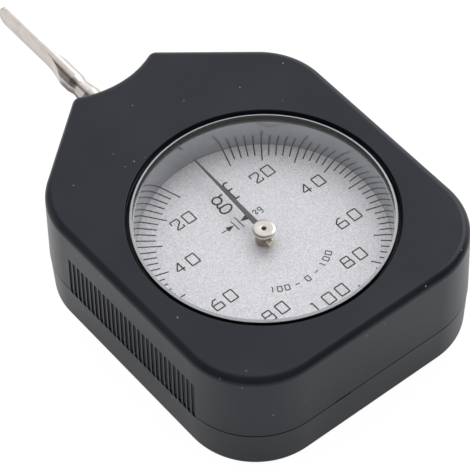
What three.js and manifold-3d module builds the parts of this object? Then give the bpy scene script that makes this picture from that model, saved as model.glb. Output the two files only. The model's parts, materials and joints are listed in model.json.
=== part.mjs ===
// Dial tension gauge: a moulded case with a lever at its nose, a geared movement and a pointer
// under a round window. Millimetres. The origin is on the back face, on the dial axis. +Z leaves
// the dial and +Y runs to the lever.

import * as THREE from "three";
import { mergeVertices } from "three/addons/utils/BufferGeometryUtils.js";
import Module from "manifold-3d";

// Case outline, seen from the front. The window drives it.
const windowRadius = 24.7;
const windowSideEdge = 5.5;
const windowFootEdge = 6.4;
const footCornerRadius = 14.8;
const shoulderCornerRadius = 15;
const shoulderSlope = THREE.MathUtils.degToRad(39.5);
const noseHalfSpan = 11.9;
const noseCornerRadius = 2;
const noseInnerRadius = 0.4;
const noseLead = 8.6;
const scoopRadius = 18;

// Case shells
const caseThickness = 25;
const partingHeight = 9;
const wallThickness = 2.2;
const floorThickness = 2;
const frontEdgeRound = 1.6;
const backEdgeRound = 0.9;
const frontDraft = 0.2;
const backDraft = 0.4;
const coverStep = 0.06;
const seamBevel = 0.15;
const lipHeight = 1.2;
const lipThickness = 1;
const lipRoot = 1.6;
const lipGap = 0.15;

// Moulded grip grooves in both long walls
const grooveCount = 29;
const groovePitch = 1.27;
const grooveMouth = 0.8;
const grooveFloor = 0.6;
const grooveDepth = 0.9;
const grooveTop = 18.15;
const grooveBottom = 8.5;
const grilleCentre = 0.65;

// Pry notch at the seam of the foot wall
const pryNotchWidth = 3.6;
const pryNotchHeight = 0.5;
const pryNotchDepth = 0.8;
const pryNotchOffset = 7.6;

// Case screws and their bosses
const bossSideInset = 7.7;
const bossFootInset = 9.2;
const bossShoulderRise = 2;
const bossRadius = 3.2;
const bossEmbed = 1.2;
const caseScrewHeadRadius = 2.2;
const caseScrewHeadHeight = 1.5;
const caseScrewRadius = 1.1;
const caseScrewPointRadius = 0.5;
const caseScrewLength = 12;
const crossDepth = 0.9;
const caseScrewSeat = 2.6;
const screwHoleGap = 0.1;
const headHoleGap = 0.2;

// Window, from the front face down
const windowBevel = 0.25;
const crystalEdgeGap = 0.7;
const crystalThickness = 1.6;
const crystalBevel = 0.4;
const ringRimHeight = 1.6;
const ringRimWidth = 0.7;
const ringWallTaper = 0.35;
const ringFlangeCover = 1.3;
const gasketGap = 0.06;
const gasketDrop = 0.2;

// Dial
const dialDepth = 7.6;
const dialThickness = 0.6;
const dialEdgeCover = 2.45;
const dialHoleRadius = 1.7;
const dialFootRadius = 1.2;
const dialFootPinRadius = 0.6;
const dialStandOff = 1.2;
const dialFootSideX = 10.5;
const dialFootSideY = 12;
const dialFootLowY = -10.2;

// Movement frame: two plates on four pillars
const framePlateThickness = 1.2;
const backPlateLift = 0.6;
const pillarHalfSpan = 9;
const pillarLowY = -9;
const pillarPivotOffset = 0.6;
const pillarRadius = 2.2;
const pillarRivetRadius = 1.3;
const plateMargin = 4.4;
const baseScrewHalfSpan = 15.8;
const baseScrewHighY = 10;
const earRadius = 3;
const plateWindowHalfWidth = 4;
const plateWindowCornerRadius = 2;
const backWindowLowY = 16;
const frontWindowLowY = 9;
const plateWindowPivotGap = 9;
const bushRadius = 1.8;

// Small screws of the movement
const plateScrewHeadRadius = 1.7;
const plateScrewHeadHeight = 0.9;
const plateScrewRadius = 0.8;
const plateScrewLength = 4.2;
const baseScrewHeadRadius = 1.8;
const baseScrewHeadHeight = 1.1;
const baseScrewRadius = 0.9;
const baseScrewLength = 3.2;
const basePostRadius = 2.6;
const slotWidth = 0.5;
const slotDepth = 0.45;
const rivetShare = 0.5;

// Lever, its shaft and its hub. Reaches along the lever are measured from its pivot.
const pivotLead = 9.3;
const leverSwing = THREE.MathUtils.degToRad(15);
const leverRodRadius = 2.1;
const leverCollarRadius = 2.25;
const leverCollarReach = 19.05;
const leverNeckRadius = 1.78;
const leverNeckReach = 21.6;
const leverNeckLength = 0.7;
const leverShoulderReach = 23.6;
const bladeHalfHeight = 2.15;
const bladeThickness = 0.8;
const bladeFlatReach = 28.3;
const bladeRunOutRadius = 4.6;
const bladeTaperReach = 41.5;
const leverTipReach = 48.2;
const leverTipBlunt = 0.35;
const leverShaftRadius = 1.5;
const leverPivotRadius = 0.8;
const hubRadius = 4.4;
const hubHeight = 4.8;
const hubSocketReach = 5;
const hubSocketHalfWidth = 3;
const rodSeatDepth = 3;
const grubScrewRadius = 0.9;
const leverClearance = 0.35;

// Sector gear and pinion
const pinionTeeth = 12;
const sectorWheelTeeth = 144;
const sectorToothCount = 17;
const pressureAngle = THREE.MathUtils.degToRad(20);
const pinionAddendumShare = 1;
const sectorAddendumShare = 0.68;
const dedendumShare = 1.25;
const toothBacklash = 0.11;
const sectorThickness = 0.8;
const sectorPlateGap = 0.4;
const sectorRimWidth = 2.4;
const sectorHubRadius = 4;
const sectorWindowReach = 12.8;
const sectorSpokeWidth = 1.8;
const pinionLength = 2;

// Leaf spring between its two pins
const leafThickness = 0.4;
const leafWidth = 3;
const leafEndReach = 8.8;
const leafSlitDepth = 2.1;
const leafPinRadius = 0.7;
const leafPinReach = 10.6;
const leafPinRise = 0.3;

// Stops for the sector
const stopRadius = 18;
const stopPinRadius = 0.7;
const stopGap = 0.12;
const stopPinLength = 1.8;

// Pointer arbor, hairspring and pointer
const arborRadius = 0.6;
const arborEndRecess = 0.3;
const colletRadius = 1.3;
const colletHeight = 1.8;
const hairspringTurns = 4;
const hairspringInnerRadius = 1.7;
const hairspringPitch = 1.05;
const hairspringThickness = 0.2;
const hairspringHeight = 0.8;
const hairspringLift = 0.7;
const studRadius = 0.7;
const studGap = 0.25;
const pointerHubRadius = 1.95;
const pointerHubHeight = 2;
const pointerHubLift = 0.7;
const pointerSeatRadius = 1.2;
const pointerThickness = 0.3;
const pointerEyeRadius = 1.85;
const pointerRootWidth = 1.05;
const pointerTipWidth = 0.24;
const pointerTipGap = 1.45;
const pointerTailReach = 3.1;
const pointerTailWidth = 0.9;
const pointerSetAngle = THREE.MathUtils.degToRad(-2.3);
const pointerCapRadius = 2.15;
const pointerCapHeight = 0.7;
const pointerCapBevel = 0.38;
const pointerScrewRadius = 0.58;
const pointerScrewStandOut = 0.35;

// Fits
const fitGap = 0.05;
const runningGap = 0.08;
const endPlay = 0.2;
const cutOverrun = 1;

// Rounding of curves, in steps
const cornerSteps = 6;
const noseSteps = 3;
const scoopHalfSteps = 4;
const edgeSteps = 3;
const windowSteps = 60;
const bossSteps = 16;
const smallSteps = 12;
const pinSteps = 8;
const runOutSteps = 5;
const tipSteps = 5;
const flankSteps = 2;

const quarterTurn = Math.PI / 2;
const fullTurn = 2 * Math.PI;

// Plan sizes worked out from the window
const caseHalfWidth = windowRadius + windowSideEdge;
const footReach = windowRadius + windowFootEdge;
const pivotReach = windowRadius + pivotLead;
const scoopReach = pivotReach + noseLead;
const shoulderReach = noseHalfSpan * Math.sin(shoulderSlope) + scoopReach * Math.cos(shoulderSlope);
const crystalRadius = windowRadius - crystalEdgeGap;
const ringRimInnerRadius = crystalRadius - ringRimWidth;
const ringFootRadius = ringRimInnerRadius - ringWallTaper;
const ringFlangeRadius = windowRadius + ringFlangeCover;
const dialRadius = ringFootRadius + dialEdgeCover;
const pointerReach = ringFootRadius - pointerTipGap;

// Heights worked out from the sizes above
const dialHeight = caseThickness - dialDepth;
const crystalSeat = caseThickness - crystalThickness;
const roofUnderside = crystalSeat - ringRimHeight;
const dialUnderside = dialHeight - dialThickness;
const frontPlateTop = dialUnderside - dialStandOff;
const frontPlateUnderside = frontPlateTop - framePlateThickness;
const backPlateUnderside = floorThickness + backPlateLift;
const backPlateTop = backPlateUnderside + framePlateThickness;
const sectorBottom = frontPlateUnderside - sectorPlateGap - sectorThickness;
const hubBottom = sectorBottom - hubHeight;
const leverHeight = hubBottom + hubHeight / 2;
const pinionTop = frontPlateUnderside - endPlay;
const pinionBottom = pinionTop - pinionLength;
const colletBottom = backPlateTop + endPlay;
const pointerHubBottom = dialHeight + pointerHubLift;
const pointerBottom = pointerHubBottom + pointerHubHeight;
const pointerTop = pointerBottom + pointerThickness;
const pointerCapTop = pointerTop + pointerCapHeight;

// Gear sizes worked out from the distance between the two axes
const gearModule = (2 * pivotReach) / (pinionTeeth + sectorWheelTeeth);
const pinionPitchRadius = (gearModule * pinionTeeth) / 2;
const sectorPitchRadius = (gearModule * sectorWheelTeeth) / 2;
const dedendum = gearModule * dedendumShare;
const sectorRootRadius = sectorPitchRadius - dedendum;
const sectorHalfAngle = (sectorToothCount * Math.PI) / sectorWheelTeeth;

const wasm = await Module();
wasm.setup();

// Welds a geometry's shared vertices and drops the triangles that a pole leaves without area.
function weld(geometry) {
  const bare = geometry.clone();
  bare.deleteAttribute("normal");
  bare.deleteAttribute("uv");
  const merged = mergeVertices(bare);
  const index = merged.index.array;
  const kept = [];
  for (let i = 0; i < index.length; i += 3) {
    const [a, b, c] = [index[i], index[i + 1], index[i + 2]];
    if (a !== b && b !== c && c !== a) {
      kept.push(a, b, c);
    }
  }
  merged.setIndex(kept);
  return merged;
}

// A closed geometry as a solid that can be joined and cut.
function solidOf(geometry) {
  const welded = weld(geometry);
  const mesh = new wasm.Mesh({
    numProp: 3,
    vertProperties: new Float32Array(welded.attributes.position.array),
    triVerts: Uint32Array.from(welded.index.array),
  });
  return new wasm.Manifold(mesh);
}

// A solid as a flat-shaded geometry.
function geometryOf(solid) {
  const mesh = solid.getMesh();
  const geometry = new THREE.BufferGeometry();
  geometry.setAttribute("position", new THREE.Float32BufferAttribute(mesh.vertProperties, 3));
  geometry.setIndex(Array.from(mesh.triVerts));
  const flat = geometry.toNonIndexed();
  flat.computeVertexNormals();
  return flat;
}

// Joins a first solid with others.
function join(first, others) {
  return others.reduce((sum, other) => sum.add(other), first);
}

// Cuts others out of a first solid.
function cut(first, others) {
  return others.reduce((rest, other) => rest.subtract(other), first);
}

// A point at a radius and angle about a centre.
function polarPoint(radius, angle, x = 0, y = 0) {
  return new THREE.Vector2(x + radius * Math.cos(angle), y + radius * Math.sin(angle));
}

// Points along an arc, from one angle to another, both ends included.
function arcPoints(x, y, radius, from, to, steps) {
  const points = [];
  for (let i = 0; i <= steps; i += 1) {
    const angle = from + ((to - from) * i) / steps;
    points.push(polarPoint(radius, angle, x, y));
  }
  return points;
}

// A full circle of points.
function circlePoints(x, y, radius, steps) {
  return arcPoints(x, y, radius, 0, fullTurn, steps).slice(0, -1);
}

// A straight prism over an outline, between two heights.
function prism(outline, bottom, top, holes = []) {
  const shape = new THREE.Shape(outline);
  shape.holes = holes.map((hole) => new THREE.Path(hole));
  const geometry = new THREE.ExtrudeGeometry(shape, { depth: top - bottom, bevelEnabled: false });
  return geometry.translate(0, 0, bottom);
}

// A round bar along Z.
function rod(x, y, radius, bottom, top, steps = smallSteps) {
  return solidOf(prism(circlePoints(x, y, radius, steps), bottom, top));
}

// A rectangular block between two corners.
function block(x0, x1, y0, y1, z0, z1) {
  const geometry = new THREE.BoxGeometry(x1 - x0, y1 - y0, z1 - z0);
  geometry.translate((x0 + x1) / 2, (y0 + y1) / 2, (z0 + z1) / 2);
  return solidOf(geometry);
}

// A turned piece about its own Y axis. The profile is a list of [radius, height] pairs that runs
// anticlockwise, and ends on the axis or closes on itself.
function turned(profile, steps = smallSteps) {
  const points = profile.map(([radius, height]) => new THREE.Vector2(radius, height));
  const onAxis = profile[0][0] === 0 && profile[profile.length - 1][0] === 0;
  if (!onAxis) {
    points.push(points[0].clone());
  }
  return new THREE.LatheGeometry(points, steps);
}

// A turned piece that stands along Z at a place in the plan.
function turnedUp(profile, x = 0, y = 0, steps = smallSteps) {
  return turned(profile, steps).rotateX(quarterTurn).translate(x, y, 0);
}

// Lofts a closed solid through outlines that all have the same number of points.
function loft(sections) {
  const count = sections[0].outline.length;
  const positions = [];
  const index = [];
  sections.forEach(({ outline, height }) => {
    outline.forEach((point) => positions.push(point.x, point.y, height));
  });
  for (let level = 0; level < sections.length - 1; level += 1) {
    for (let i = 0; i < count; i += 1) {
      const next = (i + 1) % count;
      const low = level * count;
      const high = low + count;
      index.push(low + i, low + next, high + next);
      index.push(low + i, high + next, high + i);
    }
  }
  const last = (sections.length - 1) * count;
  THREE.ShapeUtils.triangulateShape(sections[0].outline, []).forEach(([a, b, c]) => {
    index.push(c, b, a);
  });
  THREE.ShapeUtils.triangulateShape(sections[sections.length - 1].outline, []).forEach(([a, b, c]) => {
    index.push(last + a, last + b, last + c);
  });
  const geometry = new THREE.BufferGeometry();
  geometry.setAttribute("position", new THREE.Float32BufferAttribute(positions, 3));
  geometry.setIndex(index);
  return geometry;
}

// A convex outline with equal round corners about the given corner centres.
function roundedOutline(centres, radius) {
  const points = [];
  centres.forEach(([x, y], i) => {
    const [fromX, fromY] = centres[(i + centres.length - 1) % centres.length];
    const [toX, toY] = centres[(i + 1) % centres.length];
    const from = Math.atan2(y - fromY, x - fromX) - quarterTurn;
    let to = Math.atan2(toY - y, toX - x) - quarterTurn;
    while (to < from) {
      to += fullTurn;
    }
    points.push(...arcPoints(x, y, radius, from, to, edgeSteps));
  });
  return points;
}

// Height of the shoulder corners' centres, between the side and the sloping wall.
function shoulderCentreY() {
  const shoulderX = caseHalfWidth - shoulderCornerRadius;
  const slopeLeft = shoulderReach - shoulderCornerRadius - shoulderX * Math.sin(shoulderSlope);
  return slopeLeft / Math.cos(shoulderSlope);
}

// Case outline, moved inwards by an inset. Foot corners, straight sides, sloping shoulders and
// two small nose corners with a shallow scoop between them, where the lever comes out.
function caseOutline(inset, noseRadius) {
  const side = caseHalfWidth - inset;
  const foot = footReach - inset;
  const footRadius = footCornerRadius - inset;
  const shoulderRadius = shoulderCornerRadius - inset;
  const slopeReach = shoulderReach - inset;
  const hollowRadius = scoopRadius + inset;
  const outward = new THREE.Vector2(Math.sin(shoulderSlope), Math.cos(shoulderSlope));
  const along = new THREE.Vector2(outward.y, -outward.x);
  const slopeAngle = quarterTurn - shoulderSlope;

  const shoulderX = caseHalfWidth - shoulderCornerRadius;
  const shoulderY = shoulderCentreY();

  const hollowCentre = new THREE.Vector2(0, scoopReach + scoopRadius);
  const base = outward.clone().multiplyScalar(slopeReach - noseRadius).sub(hollowCentre);
  const half = base.dot(along);
  const span = hollowRadius + noseRadius;
  const slide = -half + Math.sqrt(half * half - base.lengthSq() + span * span);
  const nose = base.add(along.clone().multiplyScalar(slide)).add(hollowCentre);
  const noseEnd = Math.atan2(hollowCentre.y - nose.y, hollowCentre.x - nose.x);

  const right = [
    ...arcPoints(side - footRadius, footRadius - foot, footRadius, -quarterTurn, 0, cornerSteps),
    ...arcPoints(shoulderX, shoulderY, shoulderRadius, 0, slopeAngle, cornerSteps),
    ...arcPoints(nose.x, nose.y, noseRadius, slopeAngle, noseEnd, noseSteps),
    ...arcPoints(0, hollowCentre.y, hollowRadius, noseEnd - Math.PI, -quarterTurn, scoopHalfSteps).slice(1),
  ];
  const left = right.slice(0, -1).map((point) => new THREE.Vector2(-point.x, point.y)).reverse();
  return [...right, ...left];
}

// A loft of the case's outside through pairs of [inset, height].
function caseLoft(levels) {
  return solidOf(loft(levels.map(([inset, height]) => (
    { outline: caseOutline(inset, noseCornerRadius - inset), height }
  ))));
}

// A straight hollow inside the case walls, or the outside of the lip, at one inset.
function caseHollow(inset, bottom, top) {
  const outline = caseOutline(inset, noseInnerRadius);
  return solidOf(loft([{ outline, height: bottom }, { outline, height: top }]));
}

// Half width that the lever needs in the nose at the end of its swing.
function leverSlotHalfWidth() {
  const noseTop = scoopReach + noseCornerRadius;
  const shift = (noseTop - pivotReach) * Math.tan(leverSwing);
  return shift + leverRodRadius / Math.cos(leverSwing) + leverClearance;
}

// The slot for the lever, cut through the nose across the seam.
function leverSlot() {
  const halfWidth = leverSlotHalfWidth();
  const halfHeight = leverRodRadius + leverClearance;
  return block(
    -halfWidth,
    halfWidth,
    pivotReach,
    scoopReach + scoopRadius,
    leverHeight - halfHeight,
    leverHeight + halfHeight,
  );
}

// One grip groove, a prism that narrows to its floor, in the wall on the +X side.
function gripGroove(y) {
  const outside = caseHalfWidth + cutOverrun;
  const floorX = caseHalfWidth - grooveDepth;
  const flare = (grooveMouth - grooveFloor) / 2;
  const mouthX = caseHalfWidth;
  const halfFloor = grooveFloor / 2;
  const halfMouth = halfFloor + flare;
  const outline = [
    new THREE.Vector2(floorX, y - halfFloor),
    new THREE.Vector2(mouthX, y - halfMouth),
    new THREE.Vector2(outside, y - halfMouth),
    new THREE.Vector2(outside, y + halfMouth),
    new THREE.Vector2(mouthX, y + halfMouth),
    new THREE.Vector2(floorX, y + halfFloor),
  ];
  return solidOf(prism(outline, grooveBottom, grooveTop));
}

// All grip grooves, joined, on both sides.
function gripGrooves() {
  const grooves = [];
  for (let i = 0; i < grooveCount; i += 1) {
    const y = grilleCentre + (i - (grooveCount - 1) / 2) * groovePitch;
    const groove = gripGroove(y);
    grooves.push(groove, groove.mirror([1, 0, 0]));
  }
  return join(grooves[0], grooves.slice(1));
}

// Corner places of the four case screws.
const bossX = caseHalfWidth - bossSideInset;
const bossFootY = bossFootInset - footReach;
const bossShoulderY = shoulderCentreY() + bossShoulderRise;
const caseScrewPlaces = [
  [-bossX, bossFootY],
  [bossX, bossFootY],
  [bossX, bossShoulderY],
  [-bossX, bossShoulderY],
];

// Places of the four pillars, anticlockwise.
const pillarHighY = pivotReach - pillarPivotOffset;
const pillarPlaces = [
  [-pillarHalfSpan, pillarLowY],
  [pillarHalfSpan, pillarLowY],
  [pillarHalfSpan, pillarHighY],
  [-pillarHalfSpan, pillarHighY],
];

// Places of the four screws that hold the movement to the back cover.
const baseScrewPlaces = [
  [-baseScrewHalfSpan, pillarLowY],
  [baseScrewHalfSpan, pillarLowY],
  [baseScrewHalfSpan, baseScrewHighY],
  [-baseScrewHalfSpan, baseScrewHighY],
];

// Places of the three feet that carry the dial plate.
const dialFootPlaces = [
  [-dialFootSideX, dialFootSideY],
  [dialFootSideX, dialFootSideY],
  [0, dialFootLowY],
];

const grooves = gripGrooves();
const slot = leverSlot();

// Front shell: roof with the window, walls, screw bosses, grip grooves and half of the nose slot.
function frontShell() {
  const levels = [
    [seamBevel, partingHeight],
    [0, partingHeight + seamBevel],
    [frontDraft, caseThickness - frontEdgeRound],
  ];
  for (let i = 1; i <= edgeSteps; i += 1) {
    const angle = (i / edgeSteps) * quarterTurn;
    const inset = frontDraft + frontEdgeRound * (1 - Math.cos(angle));
    levels.push([inset, caseThickness - frontEdgeRound * (1 - Math.sin(angle))]);
  }
  const cavity = caseHollow(wallThickness, partingHeight - cutOverrun, roofUnderside);
  const windowCut = solidOf(turnedUp([
    [0, roofUnderside - cutOverrun],
    [windowRadius, roofUnderside - cutOverrun],
    [windowRadius, caseThickness - windowBevel],
    [windowRadius + windowBevel, caseThickness],
    [windowRadius + windowBevel, caseThickness + cutOverrun],
    [0, caseThickness + cutOverrun],
  ], 0, 0, windowSteps));
  const bosses = caseScrewPlaces.map(([x, y]) => (
    rod(x, y, bossRadius, partingHeight, roofUnderside + bossEmbed, bossSteps)
  ));
  const screwHoles = caseScrewPlaces.map(([x, y]) => rod(
    x,
    y,
    caseScrewRadius + screwHoleGap,
    partingHeight - cutOverrun,
    caseScrewSeat + caseScrewLength + cutOverrun,
  ));
  const shell = join(cut(caseLoft(levels), [cavity]), bosses);
  return cut(shell, [windowCut, ...screwHoles, slot, pryNotch(), grooves]);
}

// The pry notch, half in each shell.
function pryNotch() {
  const middle = -pryNotchOffset;
  return block(
    middle - pryNotchWidth / 2,
    middle + pryNotchWidth / 2,
    -footReach - cutOverrun,
    pryNotchDepth - footReach,
    partingHeight - pryNotchHeight / 2,
    partingHeight + pryNotchHeight / 2,
  );
}

// Back cover: floor, walls, a locating lip inside the front shell, screw bosses and the posts
// that the movement stands on.
function backCover() {
  const levels = [];
  for (let i = 0; i <= edgeSteps; i += 1) {
    const angle = (i / edgeSteps) * quarterTurn;
    const inset = backDraft + backEdgeRound * (1 - Math.sin(angle));
    levels.push([inset, backEdgeRound * (1 - Math.cos(angle))]);
  }
  levels.push([coverStep, partingHeight - seamBevel], [seamBevel, partingHeight]);
  const cavity = caseHollow(wallThickness, floorThickness, partingHeight + cutOverrun);
  const lipInset = wallThickness + lipGap;
  const lipTop = partingHeight + lipHeight;
  const lipBottom = partingHeight - lipRoot;
  const lipInside = caseHollow(lipInset + lipThickness, lipBottom - cutOverrun, lipTop + cutOverrun);
  const lipFoot = caseHollow(wallThickness / 2, lipBottom, partingHeight - seamBevel);
  const lipWall = caseHollow(lipInset, lipBottom, lipTop);
  const lip = cut(lipFoot.add(lipWall), [
    lipInside,
    ...caseScrewPlaces.map(([x, y]) => (
      rod(x, y, bossRadius + lipGap, partingHeight, lipTop + cutOverrun, bossSteps)
    )),
  ]);
  const bosses = caseScrewPlaces.map(([x, y]) => (
    rod(x, y, bossRadius, floorThickness / 2, partingHeight, bossSteps)
  ));
  const posts = baseScrewPlaces.map(([x, y]) => (
    rod(x, y, basePostRadius, floorThickness / 2, backPlateUnderside, pinSteps)
  ));
  const screwHoles = caseScrewPlaces.flatMap(([x, y]) => [
    rod(x, y, caseScrewRadius + screwHoleGap, -cutOverrun, partingHeight + cutOverrun),
    rod(x, y, caseScrewHeadRadius + headHoleGap, -cutOverrun, caseScrewSeat, bossSteps),
  ]);
  const postHoles = baseScrewPlaces.map(([x, y]) => rod(
    x,
    y,
    baseScrewRadius + screwHoleGap,
    backPlateTop - baseScrewLength - fitGap,
    backPlateUnderside + cutOverrun,
    pinSteps,
  ));
  const shell = join(cut(caseLoft(levels), [cavity]), [lip, ...bosses, ...posts]);
  return cut(shell, [...screwHoles, ...postHoles, slot, pryNotch(), grooves]);
}

// A slot across the head of a screw, at a height.
function headSlot(x, y, headRadius, bottom, top) {
  return block(
    x - headRadius - cutOverrun,
    x + headRadius + cutOverrun,
    y - slotWidth / 2,
    y + slotWidth / 2,
    bottom,
    top,
  );
}

// Case screw, driven from the back: sunk head with a cross recess, and a plain shank.
function caseScrew(x, y) {
  const headBottom = caseScrewSeat - caseScrewHeadHeight;
  const tip = caseScrewSeat + caseScrewLength;
  const body = solidOf(turnedUp([
    [0, headBottom],
    [caseScrewHeadRadius, headBottom],
    [caseScrewHeadRadius, caseScrewSeat],
    [caseScrewRadius, caseScrewSeat],
    [caseScrewRadius, tip - caseScrewRadius + caseScrewPointRadius],
    [caseScrewPointRadius, tip],
    [0, tip],
  ], x, y));
  const reach = caseScrewHeadRadius - slotWidth;
  const depth = headBottom + crossDepth;
  const across = block(
    x - reach,
    x + reach,
    y - slotWidth / 2,
    y + slotWidth / 2,
    headBottom - cutOverrun,
    depth,
  );
  const along = block(
    x - slotWidth / 2,
    x + slotWidth / 2,
    y - reach,
    y + reach,
    headBottom - cutOverrun,
    depth,
  );
  return cut(body, [across, along]);
}

// A screw that points down, with a slotted head that sits at a height.
function slottedScrew(x, y, seat, headRadius, headHeight, radius, length) {
  const top = seat + headHeight;
  const body = solidOf(turnedUp([
    [0, seat - length],
    [radius, seat - length],
    [radius, seat],
    [headRadius, seat],
    [headRadius, top],
    [0, top],
  ], x, y, pinSteps));
  return cut(body, [headSlot(x, y, headRadius, top - slotDepth, top + cutOverrun)]);
}

// Window crystal: a flat disc with a bevelled front edge.
function crystal() {
  return turnedUp([
    [0, crystalSeat],
    [crystalRadius, crystalSeat],
    [crystalRadius, caseThickness - crystalBevel],
    [crystalRadius - crystalBevel, caseThickness],
    [0, caseThickness],
  ], 0, 0, windowSteps);
}

// Seal between the dial ring and the edge of the window.
function gasket() {
  return turnedUp([
    [crystalRadius + gasketGap, roofUnderside],
    [windowRadius - gasketGap, roofUnderside],
    [windowRadius - gasketGap, crystalSeat - gasketDrop],
    [crystalRadius + gasketGap, crystalSeat - gasketDrop],
  ], 0, 0, windowSteps);
}

// Dial ring: the grey wall that is seen round the dial. Its rim carries the crystal, and its
// flange reaches from the dial plate to the roof of the front shell.
function dialRing() {
  return turnedUp([
    [ringFootRadius, dialHeight],
    [ringFlangeRadius, dialHeight],
    [ringFlangeRadius, roofUnderside],
    [crystalRadius, roofUnderside],
    [crystalRadius, crystalSeat],
    [ringRimInnerRadius, crystalSeat],
  ], 0, 0, windowSteps);
}

// Dial plate with the hole for the arbor.
function dialPlate() {
  const hole = circlePoints(0, 0, dialHoleRadius, smallSteps);
  return prism(circlePoints(0, 0, dialRadius, windowSteps), dialUnderside, dialHeight, [hole]);
}

// Dial foot: a shouldered pin whose thin end sits in the front plate.
function dialFoot(x, y) {
  return turnedUp([
    [0, frontPlateUnderside + fitGap],
    [dialFootPinRadius, frontPlateUnderside + fitGap],
    [dialFootPinRadius, frontPlateTop],
    [dialFootRadius, frontPlateTop],
    [dialFootRadius, dialUnderside],
    [0, dialUnderside],
  ], x, y, pinSteps);
}

// Corner centres of a window in a frame plate.
function plateWindow(lowY, highY) {
  const side = plateWindowHalfWidth;
  const corners = [[-side, lowY], [side, lowY], [side, highY], [-side, highY]];
  return roundedOutline(corners, plateWindowCornerRadius);
}

// Holes of a given radius at a list of places.
function holesAt(places, radius, steps = pinSteps) {
  return places.map(([x, y]) => circlePoints(x, y, radius, steps));
}

// Places of the two stop pins, clear of the sector's edges at the end of its swing.
function stopPlace(side) {
  const clearance = Math.asin((stopPinRadius + stopGap) / stopRadius);
  const angle = sectorHalfAngle + leverSwing + clearance;
  return [side * stopRadius * Math.sin(angle), pivotReach - stopRadius * Math.cos(angle)];
}

const stopPlaces = [stopPlace(-1), stopPlace(1)];
const axisPlaces = [[0, 0], [0, pivotReach]];
const leafPinOffset = leafThickness / 2 + leafPinRadius + runningGap;
const leafPinPlaces = [[-leafPinOffset, leafPinReach], [leafPinOffset, leafPinReach]];
const hairspringOuterRadius = hairspringInnerRadius + hairspringTurns * hairspringPitch;
const studPlace = [hairspringOuterRadius + hairspringThickness + studGap + studRadius, 0];

// Front plate of the movement.
function frontPlate() {
  return prism(
    roundedOutline(pillarPlaces, plateMargin),
    frontPlateUnderside,
    frontPlateTop,
    [
      plateWindow(frontWindowLowY, pivotReach - plateWindowPivotGap),
      ...holesAt(pillarPlaces, plateScrewRadius + screwHoleGap),
      ...holesAt(dialFootPlaces, dialFootPinRadius + fitGap),
      ...holesAt(axisPlaces, bushRadius + fitGap, smallSteps),
      ...holesAt(stopPlaces, stopPinRadius + fitGap),
    ],
  );
}

// Back plate of the movement, with four ears whose screws can be reached past the front plate.
function backPlate() {
  const plate = solidOf(prism(
    roundedOutline(pillarPlaces, plateMargin),
    backPlateUnderside,
    backPlateTop,
    [
      plateWindow(backWindowLowY, pivotReach - plateWindowPivotGap),
      ...holesAt(pillarPlaces, pillarRivetRadius + fitGap),
      ...holesAt(axisPlaces, bushRadius + fitGap, smallSteps),
      ...holesAt(leafPinPlaces, leafPinRadius * rivetShare + fitGap),
      ...holesAt([studPlace], studRadius * rivetShare + fitGap),
    ],
  ));
  const ears = baseScrewPlaces.map(([x, y]) => {
    const root = Math.sign(x) * (pillarHalfSpan + pillarRivetRadius + screwHoleGap + earRadius);
    const hole = circlePoints(x, y, baseScrewRadius + screwHoleGap, pinSteps);
    const outline = roundedOutline(x > 0 ? [[root, y], [x, y]] : [[x, y], [root, y]], earRadius);
    return solidOf(prism(outline, backPlateUnderside, backPlateTop, [hole]));
  });
  return join(plate, ears);
}

// Pillar: riveted into the back plate, tapped for a screw at its front end.
function pillar(x, y) {
  const holeBottom = frontPlateTop - plateScrewLength - fitGap;
  return turnedUp([
    [0, backPlateUnderside],
    [pillarRivetRadius, backPlateUnderside],
    [pillarRivetRadius, backPlateTop],
    [pillarRadius, backPlateTop],
    [pillarRadius, frontPlateUnderside],
    [plateScrewRadius + screwHoleGap, frontPlateUnderside],
    [plateScrewRadius + screwHoleGap, holeBottom],
    [0, holeBottom],
  ], x, y, pinSteps);
}

// Bearing bush in a plate, for a pivot of a given radius.
function bush(x, y, boreRadius, bottom) {
  return turnedUp([
    [boreRadius, bottom],
    [bushRadius, bottom],
    [bushRadius, bottom + framePlateThickness],
    [boreRadius, bottom + framePlateThickness],
  ], x, y);
}

// A pin with a thinner rivet end in the back plate.
function backPin(x, y, radius, top) {
  return turnedUp([
    [0, backPlateUnderside],
    [radius * rivetShare, backPlateUnderside],
    [radius * rivetShare, backPlateTop],
    [radius, backPlateTop],
    [radius, top],
    [0, top],
  ], x, y, pinSteps);
}

// Lever shaft with its two thin pivots.
function leverShaft() {
  const low = backPlateTop + endPlay;
  const high = frontPlateUnderside - endPlay;
  return turnedUp([
    [0, backPlateUnderside],
    [leverPivotRadius, backPlateUnderside],
    [leverPivotRadius, low],
    [leverShaftRadius, low],
    [leverShaftRadius, high],
    [leverPivotRadius, high],
    [leverPivotRadius, frontPlateTop],
    [0, frontPlateTop],
  ], 0, pivotReach);
}

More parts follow.
